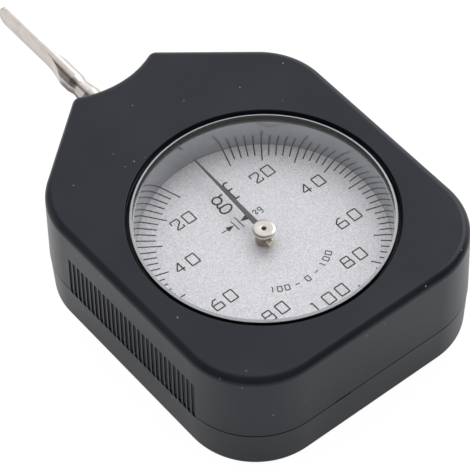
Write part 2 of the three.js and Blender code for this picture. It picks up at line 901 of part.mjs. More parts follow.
// Lever hub: a drum on the shaft with a socket for the rod, a slit for the leaf spring and a
// tapped hole for its grub screw.
function leverHub() {
  const top = hubBottom + hubHeight;
  const drum = rod(0, pivotReach, hubRadius, hubBottom, top, bossSteps);
  const socket = block(
    -hubSocketHalfWidth,
    hubSocketHalfWidth,
    pivotReach,
    pivotReach + hubSocketReach,
    hubBottom,
    top,
  );
  const shaftHole = rod(
    0,
    pivotReach,
    leverShaftRadius + fitGap,
    hubBottom - cutOverrun,
    top + cutOverrun,
  );
  const rodEnd = pivotReach + hubSocketReach - rodSeatDepth;
  const rodHole = solidOf(turned([
    [0, rodEnd - fitGap],
    [leverRodRadius + fitGap, rodEnd - fitGap],
    [leverRodRadius + fitGap, pivotReach + hubSocketReach + cutOverrun],
    [0, pivotReach + hubSocketReach + cutOverrun],
  ], bossSteps).translate(0, 0, leverHeight));
  const leafSlit = block(
    -leafThickness / 2 - fitGap,
    leafThickness / 2 + fitGap,
    pivotReach - hubRadius - cutOverrun,
    pivotReach - hubRadius + leafSlitDepth,
    leverHeight - leafWidth / 2 - fitGap,
    leverHeight + leafWidth / 2 + fitGap,
  );
  const grubHole = solidOf(
    prism(circlePoints(0, 0, grubScrewRadius + fitGap, smallSteps), 0, hubRadius + cutOverrun)
      .rotateY(-quarterTurn)
      .translate(0, pivotReach, leverHeight),
  );
  return cut(drum.add(socket), [shaftHole, rodHole, leafSlit, grubHole]);
}

// Grub screw of the hub, with a slot in its outer end.
function hubGrubScrew() {
  const inner = leverShaftRadius + fitGap;
  const screw = solidOf(
    prism(circlePoints(0, 0, grubScrewRadius, smallSteps), inner, hubRadius)
      .rotateY(-quarterTurn)
      .translate(0, pivotReach, leverHeight),
  );
  const slotCut = block(
    -hubRadius - cutOverrun,
    slotDepth - hubRadius,
    pivotReach - hubRadius,
    pivotReach + hubRadius,
    leverHeight - slotWidth / 2,
    leverHeight + slotWidth / 2,
  );
  return cut(screw, [slotCut]);
}

// Lever: a turned rod with a collar and a neck, milled flat on both sides into a thin blade
// whose end is rounded in side view.
function leverArm() {
  const start = hubSocketReach - rodSeatDepth;
  const profile = [
    [0, start],
    [leverRodRadius, start],
    [leverRodRadius, leverCollarReach - leverCollarRadius],
    [leverCollarRadius, leverCollarReach],
    [leverNeckRadius, leverNeckReach],
    [leverNeckRadius, leverNeckReach + leverNeckLength],
    [leverRodRadius, leverShoulderReach],
    [leverRodRadius, bladeFlatReach - bladeHalfHeight],
    [bladeHalfHeight, bladeFlatReach + bladeHalfHeight],
  ];
  const taper = leverTipReach - bladeTaperReach;
  const lastAngle = Math.acos(leverTipBlunt / bladeHalfHeight);
  for (let i = 0; i <= tipSteps; i += 1) {
    const angle = (lastAngle * i) / tipSteps;
    const reach = bladeTaperReach + (taper * Math.sin(angle)) / Math.sin(lastAngle);
    profile.push([bladeHalfHeight * Math.cos(angle), reach]);
  }
  profile.push([0, leverTipReach]);
  const bar = solidOf(turned(profile, bossSteps).translate(0, 0, leverHeight));

  const flat = bladeThickness / 2;
  const wide = leverCollarRadius + cutOverrun;
  const deepest = Math.acos(1 - (wide - flat) / bladeRunOutRadius);
  const centreX = flat + bladeRunOutRadius;
  const runOut = arcPoints(
    centreX,
    bladeFlatReach,
    bladeRunOutRadius,
    Math.PI + deepest,
    Math.PI,
    runOutSteps,
  );
  const rightSide = [
    new THREE.Vector2(wide, start - cutOverrun),
    ...runOut,
    new THREE.Vector2(flat, leverTipReach + cutOverrun),
  ];
  const leftSide = rightSide.map((point) => new THREE.Vector2(-point.x, point.y)).reverse();
  const depth = leverCollarRadius + cutOverrun;
  const plan = solidOf(prism([...rightSide, ...leftSide], leverHeight - depth, leverHeight + depth));
  return bar.intersect(plan).translate(0, pivotReach, 0);
}

// Half of an involute tooth as [radius, angle from its centre line], from root to tip.
function toothFlank(pitchRadius, addendum, rootRadius) {
  const baseRadius = pitchRadius * Math.cos(pressureAngle);
  const tipRadius = pitchRadius + addendum;
  const halfPitchAngle = (Math.PI * gearModule) / 4 / pitchRadius - toothBacklash / 4 / pitchRadius;
  const involute = (angle) => Math.tan(angle) - angle;
  const angleAt = (radius) => {
    const rolled = Math.acos(baseRadius / radius);
    return halfPitchAngle + involute(pressureAngle) - involute(rolled);
  };
  const start = Math.max(baseRadius, rootRadius);
  const flank = [[rootRadius, angleAt(start)]];
  for (let i = 0; i <= flankSteps; i += 1) {
    const radius = start + ((tipRadius - start) * i) / flankSteps;
    if (radius > rootRadius) {
      flank.push([radius, angleAt(radius)]);
    }
  }
  return flank;
}

// Outline of one tooth about a centre angle, anticlockwise.
function toothOutline(flank, centreAngle) {
  const rising = flank.map(([radius, angle]) => [radius, centreAngle - angle]);
  const falling = flank.map(([radius, angle]) => [radius, centreAngle + angle]).reverse();
  return [...rising, ...falling].map(([radius, angle]) => polarPoint(radius, angle));
}

// Sector gear: hub, two spokes and a toothed rim that faces the dial axis. One tooth lies on the
// line between the two axes at rest.
function sectorGear() {
  const down = -quarterTurn;
  const flank = toothFlank(sectorPitchRadius, gearModule * sectorAddendumShare, sectorRootRadius);
  const toothAngle = fullTurn / sectorWheelTeeth;
  const outline = [];
  for (let i = 0; i < sectorToothCount; i += 1) {
    const centre = down + (i - (sectorToothCount - 1) / 2) * toothAngle;
    outline.push(...toothOutline(flank, centre));
  }
  const left = down - sectorHalfAngle;
  const right = down + sectorHalfAngle;
  const hubTurn = fullTurn - 2 * sectorHalfAngle;
  const hubArc = arcPoints(0, 0, sectorHubRadius, right, right + hubTurn, cornerSteps + cornerSteps);
  const plate = [
    polarPoint(sectorRootRadius, left),
    ...outline,
    polarPoint(sectorRootRadius, right),
    ...hubArc,
  ];
  const rimInner = sectorRootRadius - sectorRimWidth;
  const spokeAngleAt = (radius) => sectorHalfAngle - sectorSpokeWidth / radius;
  const outerWindow = arcPoints(
    0,
    0,
    rimInner,
    down - spokeAngleAt(rimInner),
    down + spokeAngleAt(rimInner),
    cornerSteps,
  );
  const innerWindow = [
    polarPoint(sectorWindowReach, down + spokeAngleAt(sectorWindowReach)),
    polarPoint(sectorWindowReach, down - spokeAngleAt(sectorWindowReach)),
  ];
  const shaftHole = circlePoints(0, 0, leverShaftRadius + fitGap, smallSteps);
  const holes = [[...outerWindow, ...innerWindow], shaftHole];
  return prism(plate, sectorBottom, sectorBottom + sectorThickness, holes).translate(0, pivotReach, 0);
}

// Pinion: a gap between two of its teeth faces the sector at rest.
function pinion() {
  const rootRadius = pinionPitchRadius - dedendum;
  const flank = toothFlank(pinionPitchRadius, gearModule * pinionAddendumShare, rootRadius);
  const outline = [];
  for (let i = 0; i < pinionTeeth; i += 1) {
    const centre = quarterTurn + ((i + 1 / 2) * fullTurn) / pinionTeeth;
    outline.push(...toothOutline(flank, centre));
  }
  const bore = circlePoints(0, 0, arborRadius + fitGap, smallSteps);
  return prism(outline, pinionBottom, pinionTop, [bore]);
}

// Leaf spring: a flat strip from the hub's slit to its two pins.
function leafSpring() {
  return block(
    -leafThickness / 2,
    leafThickness / 2,
    leafEndReach,
    pivotReach - hubRadius + leafSlitDepth - fitGap,
    leverHeight - leafWidth / 2,
    leverHeight + leafWidth / 2,
  );
}

// Stop pin under the front plate.
function stopPin(x, y) {
  return prism(
    circlePoints(x, y, stopPinRadius, pinSteps),
    frontPlateUnderside - stopPinLength,
    frontPlateTop,
  );
}

// Pointer arbor, from the back bush to just under the top of the pointer's cap.
function pointerArbor() {
  const top = pointerCapTop - arborEndRecess;
  return prism(circlePoints(0, 0, arborRadius, smallSteps), backPlateUnderside, top);
}

// A plain ring on the arbor.
function arborRing(radius, bottom, top) {
  return turnedUp([
    [arborRadius + fitGap, bottom],
    [radius, bottom],
    [radius, top],
    [arborRadius + fitGap, top],
  ]);
}

// Hairspring: one flat spiral band that ends beside its stud.
function hairspring() {
  const steps = hairspringTurns * smallSteps;
  const inner = [];
  const outer = [];
  for (let i = 0; i <= steps; i += 1) {
    const turn = i / smallSteps;
    const radius = hairspringInnerRadius + turn * hairspringPitch;
    inner.push(polarPoint(radius, turn * fullTurn));
    outer.push(polarPoint(radius + hairspringThickness, turn * fullTurn));
  }
  const bottom = backPlateTop + hairspringLift;
  return prism([...outer, ...inner.reverse()], bottom, bottom + hairspringHeight);
}

// Pointer hub: the body that grips the arbor, with a thin seat for the needle and a tapped hole.
function pointerHub() {
  const bore = arborRadius + fitGap;
  const body = solidOf(turnedUp([
    [bore, pointerHubBottom],
    [pointerHubRadius, pointerHubBottom],
    [pointerHubRadius, pointerBottom],
    [pointerSeatRadius, pointerBottom],
    [pointerSeatRadius, pointerTop],
    [bore, pointerTop],
  ], 0, 0, bossSteps));
  const middle = (pointerHubBottom + pointerBottom) / 2;
  const screwHole = solidOf(
    prism(circlePoints(0, 0, pointerScrewRadius + fitGap, smallSteps), 0, pointerHubRadius + cutOverrun)
      .rotateX(quarterTurn)
      .translate(0, 0, middle),
  );
  return body.subtract(screwHole);
}

// Set screw of the pointer hub, opposite the needle.
function pointerScrew() {
  const middle = (pointerHubBottom + pointerBottom) / 2;
  return prism(
    circlePoints(0, 0, pointerScrewRadius, smallSteps),
    arborRadius + fitGap,
    pointerHubRadius + pointerScrewStandOut,
  ).rotateX(quarterTurn).translate(0, 0, middle);
}

// Needle: an eye on the hub, a long tapered arm and a short tail.
function pointer() {
  const halfRoot = pointerRootWidth / 2;
  const halfTip = pointerTipWidth / 2;
  const halfTail = pointerTailWidth / 2;
  const rootAngle = Math.asin(halfRoot / pointerEyeRadius);
  const tailAngle = Math.asin(halfTail / pointerEyeRadius);
  const outline = [
    ...arcPoints(0, 0, pointerEyeRadius, tailAngle - quarterTurn, quarterTurn - rootAngle, cornerSteps),
    new THREE.Vector2(halfTip, pointerReach - pointerTipWidth),
    new THREE.Vector2(0, pointerReach),
    new THREE.Vector2(-halfTip, pointerReach - pointerTipWidth),
    ...arcPoints(
      0,
      0,
      pointerEyeRadius,
      quarterTurn + rootAngle,
      3 * quarterTurn - tailAngle,
      cornerSteps,
    ),
    new THREE.Vector2(-halfTail, -pointerTailReach),
    new THREE.Vector2(halfTail, -pointerTailReach),
  ];
  const eye = circlePoints(0, 0, pointerSeatRadius + fitGap, smallSteps);
  return prism(outline, pointerBottom, pointerTop, [eye]).rotateZ(pointerSetAngle);
}

// Cap that clamps the needle on the hub: a disc with a bevelled rim.
function pointerCap() {
  const bore = arborRadius + fitGap;
  return turnedUp([
    [bore, pointerTop],
    [pointerCapRadius, pointerTop],
    [pointerCapRadius, pointerCapTop - pointerCapBevel],
    [pointerCapRadius - pointerCapBevel, pointerCapTop],
    [bore, pointerCapTop],
  ], 0, 0, bossSteps);
}

// Materials
function material(color, roughness, metalness) {
  return new THREE.MeshStandardMaterial({ color, roughness, metalness });
}

const blackMoulding = material(0x36373b, 0.5, 0);
const blackSteel = material(0x222326, 0.45, 0.8);
const blackRubber = material(0x0c0d10, 0.7, 0);
const clearAcrylic = material(0xe8eef0, 0.08, 0);
clearAcrylic.transparent = true;
clearAcrylic.opacity = 0.2;
const greyPlastic = material(0x66696c, 0.3, 0);
const silverDial = material(0xd5d5d8, 0.55, 0.3);
const brass = material(0xb7975a, 0.35, 0.9);
const nickel = material(0xc8c4be, 0.3, 0.9);
const steel = material(0x9fa2a6, 0.35, 0.9);
const blueSteel = material(0x3d4e73, 0.35, 0.9);
const needlePaint = material(0x4b4c50, 0.55, 0.1);

const gauge = new THREE.Group();
gauge.name = "dial_tension_gauge";

// Adds one named piece, made from a solid or from a closed geometry.
function addPiece(name, shape, finish) {
  const solid = shape instanceof THREE.BufferGeometry ? solidOf(shape) : shape;
  const mesh = new THREE.Mesh(geometryOf(solid), finish);
  mesh.name = name;
  gauge.add(mesh);
}

// Case
addPiece("front_shell", frontShell(), blackMoulding);
addPiece("back_cover", backCover(), blackMoulding);
caseScrewPlaces.forEach(([x, y], i) => addPiece(`case_screw_${i + 1}`, caseScrew(x, y), blackSteel));

// Window and dial
addPiece("crystal", crystal(), clearAcrylic);
addPiece("crystal_gasket", gasket(), blackRubber);
addPiece("dial_ring", dialRing(), greyPlastic);
addPiece("dial_plate", dialPlate(), silverDial);
dialFootPlaces.forEach(([x, y], i) => addPiece(`dial_foot_${i + 1}`, dialFoot(x, y), brass));

// Movement frame
addPiece("back_plate", backPlate(), brass);
addPiece("front_plate", frontPlate(), brass);
pillarPlaces.forEach(([x, y], i) => addPiece(`pillar_${i + 1}`, pillar(x, y), brass));
pillarPlaces.forEach(([x, y], i) => {
  const screw = slottedScrew(
    x,
    y,
    frontPlateTop,
    plateScrewHeadRadius,
    plateScrewHeadHeight,
    plateScrewRadius,
    plateScrewLength,
  );
  addPiece(`plate_screw_${i + 1}`, screw, steel);
});
baseScrewPlaces.forEach(([x, y], i) => {
  const screw = slottedScrew(
    x,
    y,
    backPlateTop,
    baseScrewHeadRadius,
    baseScrewHeadHeight,
    baseScrewRadius,
    baseScrewLength,
  );
  addPiece(`base_screw_${i + 1}`, screw, steel);
});
addPiece("lever_bush_back", bush(0, pivotReach, leverPivotRadius + runningGap, backPlateUnderside), brass);
addPiece("lever_bush_front", bush(0, pivotReach, leverPivotRadius + runningGap, frontPlateUnderside), brass);
addPiece("arbor_bush_back", bush(0, 0, arborRadius + runningGap, backPlateUnderside), brass);
addPiece("arbor_bush_front", bush(0, 0, arborRadius + runningGap, frontPlateUnderside), brass);
leafPinPlaces.forEach(([x, y], i) => {
  const top = leverHeight + leafWidth / 2 + leafPinRise;
  addPiece(`spring_pin_${i + 1}`, backPin(x, y, leafPinRadius, top), steel);
});
stopPlaces.forEach(([x, y], i) => addPiece(`stop_pin_${i + 1}`, stopPin(x, y), steel));
const studTop = backPlateTop + hairspringLift + hairspringHeight + hairspringLift;
addPiece("hairspring_stud", backPin(...studPlace, studRadius, studTop), brass);
addPiece("hairspring", hairspring(), blueSteel);

// Lever, hub, shaft, sector and leaf spring
addPiece("lever_arm", leverArm(), nickel);
addPiece("lever_hub", leverHub(), brass);
addPiece("lever_shaft", leverShaft(), steel);
addPiece("hub_grub_screw", hubGrubScrew(), steel);
addPiece("sector_gear", sectorGear(), brass);
addPiece("leaf_spring", leafSpring(), blueSteel);

// Pointer and its arbor
addPiece("pointer_arbor", pointerArbor(), steel);
addPiece("pinion", pinion(), steel);
addPiece("hairspring_collet", arborRing(colletRadius, colletBottom, colletBottom + colletHeight), brass);
addPiece("pointer_hub", pointerHub(), nickel);
addPiece("pointer_screw", pointerScrew(), nickel);
addPiece("pointer", pointer(), needlePaint);
addPiece("pointer_cap", pointerCap(), nickel);

export default gauge;
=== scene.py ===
# %% [markdown]
# # A dial tension gauge, piece by piece
# The gauge is a small measuring instrument. A thin nickel lever sticks out of the nose of a black
# moulded case, and a geared movement turns its swing into the turn of a pointer over a round dial.
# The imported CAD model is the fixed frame. It says where every piece goes and how it moves, so this
# script only adds what the eye needs: finer shapes, printed marks and real finishes.

# %% The frame and its box
import json
import math

import bmesh
import bpy
from mathutils import Matrix, Vector

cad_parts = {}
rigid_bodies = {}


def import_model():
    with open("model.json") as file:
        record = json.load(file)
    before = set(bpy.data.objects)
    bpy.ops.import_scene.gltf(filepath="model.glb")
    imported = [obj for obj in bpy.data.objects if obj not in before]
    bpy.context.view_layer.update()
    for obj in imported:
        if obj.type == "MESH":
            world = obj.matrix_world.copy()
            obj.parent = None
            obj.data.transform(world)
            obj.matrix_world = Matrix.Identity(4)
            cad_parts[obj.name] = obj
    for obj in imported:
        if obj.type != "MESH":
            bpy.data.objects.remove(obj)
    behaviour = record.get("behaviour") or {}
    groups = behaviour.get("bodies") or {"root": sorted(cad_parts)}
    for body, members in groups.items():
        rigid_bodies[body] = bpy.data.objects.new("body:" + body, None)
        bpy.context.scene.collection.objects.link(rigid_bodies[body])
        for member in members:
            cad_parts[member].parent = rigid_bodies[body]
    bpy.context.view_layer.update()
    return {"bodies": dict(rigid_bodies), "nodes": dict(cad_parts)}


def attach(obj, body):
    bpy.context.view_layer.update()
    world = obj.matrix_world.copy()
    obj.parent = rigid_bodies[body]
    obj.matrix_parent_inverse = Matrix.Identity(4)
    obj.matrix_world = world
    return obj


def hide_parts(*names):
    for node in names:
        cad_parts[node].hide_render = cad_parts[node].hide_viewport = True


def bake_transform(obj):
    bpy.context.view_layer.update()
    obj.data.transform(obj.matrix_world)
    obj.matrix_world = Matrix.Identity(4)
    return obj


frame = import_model()

# %% [markdown]
# ## The camera
# The place and lens were worked out from the round window and the case's edges in the photograph.
# A long lens of 214 mm flattens the view, as in most catalogue pictures. The matrix holds the
# camera's right, up and backward directions as columns, which needs no angles to be guessed.

# %% Camera
MM = 0.001


def placed(name, data):
    """A new object in the scene that holds a mesh, a curve, a camera or a lamp."""
    thing = bpy.data.objects.new(name, data)
    bpy.context.scene.collection.objects.link(thing)
    return thing


camera_data = bpy.data.cameras.new("catalogue_camera")
camera_data.sensor_width = 36
camera_data.lens = 213.506
camera_data.clip_start = 0.05
camera_data.clip_end = 10
camera = placed("catalogue_camera", camera_data)
camera.matrix_world = Matrix((
    (0.77835084, 0.49869453, -0.38141021, -195.637 * MM),
    (-0.62750348, 0.59835691, -0.49820517, -246.953 * MM),
    (-0.02023276, 0.62711465, 0.77866415, 410.291 * MM),
    (0, 0, 0, 1),
))
bpy.context.scene.camera = camera
bpy.context.scene.view_settings.view_transform = "Standard"
print("camera stands", round(camera.location.length, 3), "m from the back of the gauge")

# %% [markdown]
# ## Small shape tools
# Every shape below comes from a few rules: a turned profile, a stack of outlines, or a flat strip
# with rounded edges. Sizes are written in millimetres, as on a drawing, and become metres only when
# a mesh is made. Corners are rounded by the rule itself, because no real edge is perfectly sharp.

# %% Plain meshes from lists
QUARTER = math.pi / 2
TURN = 2 * math.pi


def piece_from(name, points, faces):
    """A new mesh object from points in millimetres."""
    mesh = bpy.data.meshes.new(name)
    mesh.from_pydata([(x * MM, y * MM, z * MM) for x, y, z in points], [], faces)
    mesh.update()
    return placed(name, mesh)


def face_outwards(piece):
    """Merges doubles and turns every face of a closed mesh outwards."""
    shape = bmesh.new()
    shape.from_mesh(piece.data)
    bmesh.ops.remove_doubles(shape, verts=shape.verts, dist=2e-7)
    bmesh.ops.recalc_face_normals(shape, faces=shape.faces)
    shape.to_mesh(piece.data)
    shape.free()
    return piece


def plain_mesh(piece, name=None):
    """What the modifiers of a piece make of it, as one plain mesh at the origin."""
    bpy.context.view_layer.update()
    graph = bpy.context.evaluated_depsgraph_get()
    mesh = bpy.data.meshes.new_from_object(piece.evaluated_get(graph), depsgraph=graph)
    mesh.transform(piece.matrix_world)
    old = piece.name
    bpy.data.objects.remove(piece)
    return placed(name or old, mesh)


def smooth(piece, degrees=32):
    """Shades soft edges smooth and keeps edges sharper than an angle crisp."""
    piece.data.shade_smooth()
    piece.data.set_sharp_from_angle(angle=math.radians(degrees))
    return piece


def level_shading(piece, degrees=32):
    """Smooth shading in which the large flat faces stay flat next to a rounded edge."""
    smooth(piece, degrees)
    weigh = piece.modifiers.new("weigh", "WEIGHTED_NORMAL")
    weigh.mode = "FACE_AREA"
    weigh.weight = 100
    weigh.keep_sharp = True
    return plain_mesh(piece)


print("shape tools ready")

# %% Outlines and profiles
def arc(x, y, radius, start, end, steps):
    """Points along an arc in the plan, both ends included."""
    angles = [start + (end - start) * i / steps for i in range(steps + 1)]
    return [(x + radius * math.cos(angle), y + radius * math.sin(angle)) for angle in angles]


def quarter_turn(steps, first=0):
    """Cosines and sines of evenly spaced angles up to a right angle."""
    return arc(0, 0, 1, 0, QUARTER, steps)[first:]


def rounded(points, radius, steps=4, closed=True, keep=()):
    """The same outline with its corners rounded. Corners named in keep stay sharp."""
    count = len(points)
    result = []
    for i, (x, y) in enumerate(points):
        if i in keep or (not closed and i in (0, count - 1)):
            result.append((x, y))
            continue
        here = Vector((x, y))
        before = Vector(points[i - 1]) - here
        after = Vector(points[(i + 1) % count]) - here
        if min(before.length, after.length) < 1e-6 or before.angle(after) > math.radians(176):
            result.append((x, y))
            continue
        reach = min(radius / math.tan(before.angle(after) / 2), before.length * 0.48, after.length * 0.48)
        first = here + before.normalized() * reach
        last = here + after.normalized() * reach
        for k in range(steps + 1):
            t = k / steps
            spot = first * (1 - t) ** 2 + here * 2 * t * (1 - t) + last * t ** 2
            result.append((spot.x, spot.y))
    return result


def turned(name, profile, steps=64, x=0, y=0):
    """A turned piece that stands along Z, from pairs of radius and height. A profile that doesn't
    begin and end on the axis closes on itself. A point on the axis is a ring of one."""
    on_axis = profile[0][0] < 1e-9 and profile[-1][0] < 1e-9
    points, rings = [], []
    for radius, height in profile:
        ring = []
        for k in range(1 if radius < 1e-9 else steps):
            angle = TURN * k / steps
            ring.append(len(points))
            points.append((x + radius * math.cos(angle), y + radius * math.sin(angle), height))
        rings.append(ring)
    faces = []
    pairs = list(zip(rings, rings[1:])) + ([] if on_axis else [(rings[-1], rings[0])])
    for low, high in pairs:
        for k in range(steps):
            corners = ((low, k), (low, k + 1), (high, k + 1), (high, k))
            face = list(dict.fromkeys(ring[i % len(ring)] for ring, i in corners))
            if len(face) > 2:
                faces.append(face)
    return face_outwards(piece_from(name, points, faces))


def rectangle(x0, x1, y0, y1):
    """The corners of a rectangle, anticlockwise."""
    return [(x0, y0), (x1, y0), (x1, y1), (x0, y1)]


def tube(name, rings):
    """A closed solid through rings with the same number of points, capped at both ends."""
    count = len(rings[0])
    points = [point for ring in rings for point in ring]
    last = len(points) - count
    faces = []
    for low in range(0, last, count):
        for i in range(count):
            n = (i + 1) % count
            faces.append((low + i, low + n, low + count + n, low + count + i))
    faces += [tuple(reversed(range(count))), tuple(range(last, len(points)))]
    return face_outwards(piece_from(name, points, faces))


def stacked(name, sections):
    """A closed solid through outlines of equal length, each at its own height."""
    return tube(name, [[(x, y, height) for x, y in outline] for outline, height in sections])


def poly_curve(name, dimensions, strokes):
    """A curve of straight strokes, each given as its points and whether it is closed."""
    curve = bpy.data.curves.new(name, "CURVE")
    curve.dimensions = dimensions
    for points, closed in strokes:
        spline = curve.splines.new("POLY")
        spline.points.add(len(points) - 1)
        for point, (x, y) in zip(spline.points, points):
            point.co = (x * MM, y * MM, 0, 1)
        spline.use_cyclic_u = closed
    return curve


def sheet_metal(name, outlines, bottom, top, edge=0.03):
    """A flat piece with softly rounded edges, cut from a curve. Inner outlines become holes."""
    curve = poly_curve(name, "2D", [(outline, True) for outline in outlines])
    curve.fill_mode = "BOTH"
    curve.extrude = (top - bottom - 2 * edge) / 2 * MM
    curve.bevel_depth = edge * MM
    curve.bevel_resolution = 1
    curve.offset = -edge * MM
    piece = plain_mesh(placed(name, curve), name)
    piece.data.transform(Matrix.Translation((0, 0, (top + bottom) / 2 * MM)))
    return face_outwards(piece)


def carve(piece, others, operation="DIFFERENCE"):
    """Cuts other closed pieces out of a piece, or joins them to it, and uses them up."""
    for other in others:
        change = piece.modifiers.new("carve", "BOOLEAN")
        change.operation = operation
        change.solver = "MANIFOLD"
        change.object = other
    result = plain_mesh(piece)
    for other in others:
        bpy.data.objects.remove(other)
    return result


def block(name, x0, x1, y0, y1, z0, z1, radius=0.0):
    """A rectangular bar along Y, with rounded corners in its cross-section."""
    section = rectangle(x0, x1, z0, z1)
    if radius:
        section = rounded(section, radius)
    return tube(name, [[(x, y, z) for x, z in section] for y in (y0, y1)])


print("outlines, turned shapes, stacks and cuts ready")

# %% [markdown]
# ## Tools for finishes
# A finish is a small network of shader nodes. One helper makes a node and sets or links its
# inputs, and the others are short names for the nodes used most. The patterns read Object
# coordinates, which are metres on the real piece, so a grain is the same size on every part.

# %% Node and shader tools
def srgb(code):
    """A screen colour such as 36373b as the linear numbers that a shader wants."""
    parts = [int(code[i:i + 2], 16) / 255 for i in (0, 2, 4)]
    return (*(c / 12.92 if c <= 0.04045 else ((c + 0.055) / 1.055) ** 2.4 for c in parts), 1)


def step(tree, kind, values=None, **settings):
    """One node of a tree. values sets or links its inputs by name or number. A text is a colour."""
    node = tree.nodes.new(kind)
    for name, value in settings.items():
        setattr(node, name, value)
    for key, value in (values or {}).items():
        if isinstance(value, bpy.types.NodeSocket):
            tree.links.new(value, node.inputs[key])
        else:
            node.inputs[key].default_value = srgb(value) if isinstance(value, str) else value
    return node


def new_finish(name, color, roughness, metallic=0.0):
    """A finish with one Principled shader whose plain values are set on its sockets."""
    finish = bpy.data.materials.new(name)
    finish.use_nodes = True
    tree = finish.node_tree
    tree.nodes.clear()
    shader = step(tree, "ShaderNodeBsdfPrincipled", {
        "Base Color": color, "Roughness": roughness, "Metallic": metallic})
    step(tree, "ShaderNodeOutputMaterial", {0: shader.outputs[0]})
    finish.diffuse_color = shader.inputs["Base Color"].default_value
    return finish, tree, shader


def place(tree, scale=(1, 1, 1)):
    """Object coordinates, which a scale can stretch."""
    coords = step(tree, "ShaderNodeTexCoord").outputs["Object"]
    return step(tree, "ShaderNodeMapping", {"Vector": coords, "Scale": scale}).outputs[0]


def noise(tree, where, scale, detail=2.0, roughness=0.5):
    """Soft random values at a scale in lumps per metre."""
    return step(tree, "ShaderNodeTexNoise", {
        "Vector": where, "Scale": scale, "Detail": detail, "Roughness": roughness}).outputs["Fac"]


def cells(tree, where, scale):
    """Random cells: the distance from each cell's middle, and random values for each cell."""
    texture = step(tree, "ShaderNodeTexVoronoi", {"Vector": where, "Scale": scale})
    values = step(tree, "ShaderNodeSeparateColor", {0: texture.outputs["Color"]})
    return texture.outputs["Distance"], values.outputs


def spread(tree, value, low, high, to_low, to_high):
    """Stretches a range of values to another one and holds it there."""
    return step(tree, "ShaderNodeMapRange", {
        "Value": value, "From Min": low, "From Max": high, "To Min": to_low, "To Max": to_high}).outputs[0]


def between(tree, factor, first, second):
    """A colour between two colours or sockets."""
    node = step(tree, "ShaderNodeMix", {"Factor": factor, 6: first, 7: second}, data_type="RGBA")
    return node.outputs[2]


def combine(tree, operation, first, second):
    """One arithmetic step on two values or sockets."""
    return step(tree, "ShaderNodeMath", {0: first, 1: second}, operation=operation).outputs[0]


def measure(tree, operation, where, target=(0, 0, 0)):
    """A dot product with a fixed direction, or the distance from a fixed place."""
    return step(tree, "ShaderNodeVectorMath", {0: where, 1: target}, operation=operation).outputs["Value"]


def coat(tree, shader, tone, pattern, smooth_end, rough_end):
    """Sets a shader's colour, and its roughness from a pattern between two values."""
    tree.links.new(tone, shader.inputs["Base Color"])
    tree.links.new(spread(tree, pattern, 0.3, 0.7, smooth_end, rough_end), shader.inputs["Roughness"])


def mixed(tree, amount, first, second):
    """Ends a finish with a mix of two shaders, by a number or by a socket."""
    mix = step(tree, "ShaderNodeMixShader", {0: amount, 1: first.outputs[0], 2: second.outputs[0]})
    tree.links.new(mix.outputs[0], tree.nodes["Material Output"].inputs[0])


def relief(tree, shader, height, strength, depth_mm):
    """Lets a pattern raise and lower the surface for the light."""
    bump = step(tree, "ShaderNodeBump", {
        "Height": height, "Strength": strength, "Distance": depth_mm * MM})
    tree.links.new(bump.outputs[0], shader.inputs["Normal"])


def noisy_finish(name, base, roughness, pattern, tones, gloss, span=(0, 1), bump=None, metallic=0.0):
    """A finish whose colour and gloss follow one noise. pattern holds its scale, detail and
    roughness, and span the part of the noise over which the tone changes."""
    finish, tree, shader = new_finish(name, base, roughness, metallic)
    lumps = noise(tree, place(tree), *pattern)
    tone = between(tree, spread(tree, lumps, *span, 0, 1), *tones)
    coat(tree, shader, tone, lumps, *gloss)
    if bump:
        relief(tree, shader, lumps, *bump)
    return finish


def wear(piece, *finishes):
    """Gives a piece its finishes, the first one on every face."""
    piece.data.materials.clear()
    for finish in finishes:
        piece.data.materials.append(finish)
    return piece


def turned_part(name, profile, steps, finish, degrees=32):
    """A turned piece, shaded and with its finish."""
    return wear(level_shading(turned(name, profile, steps), degrees), finish)


def tell(*pieces):
    """Prints how many faces each piece has."""
    for piece in pieces:
        print(piece.name, "has", len(piece.data.polygons), "faces")


print("tools for nodes and finishes ready")

# %% [markdown]
# ## Finish: black moulding
# The case is moulded in black plastic. The mould was spark-eroded, so the skin has a fine even
# grain. It is darker than it looks: most of its grey is the pale room mirrored by the skin. A few
# specks of dust lie on it: a random cell pattern gives each cell a chance of one speck.

# %% Black moulding
def black_moulding():
    finish, tree, shader = new_finish("black_moulding", "1a1c20", 0.31)
    shader.inputs["Specular IOR Level"].default_value = 0.32
    shader.inputs["Specular Tint"].default_value = (0.86, 0.92, 1.0, 1.0)
    where = place(tree)
    cloud = noise(tree, where, 55, 3, 0.6)
    tone = between(tree, spread(tree, cloud, 0.35, 0.65, 0, 1), "181a20", "1f2127")
    grain = noise(tree, where, 4200, 2, 0.6)
    tone = between(tree, spread(tree, grain, 0.45, 0.75, 0, 0.35), tone, "292b30")
    distance, values = cells(tree, where, 500)
    near = spread(tree, distance, 0.05, 0.09, 1, 0)
    rare = combine(tree, "GREATER_THAN", values[0], 0.88)
    speck = combine(tree, "MULTIPLY", combine(tree, "MULTIPLY", near, rare), 0.9)
    tone = between(tree, speck, tone, "8d8e92")
    coat(tree, shader, tone, noise(tree, where, 260, 4, 0.6), 0.3, 0.32)
    relief(tree, shader, grain, 0.06, 0.02)
    return finish


moulding = black_moulding()
print("finish:", moulding.name)

# %% [markdown]
# ## The case, seen from the front
# One rule gives the outline at any inset: two large foot corners, straight sides, two sloping
# shoulders and a scooped nose. The same outline, moved inwards, gives the edge rounding, the
# draft of the walls and the hollow inside. A stack of such outlines is easier to keep exact than
# a bevel on a finished block.

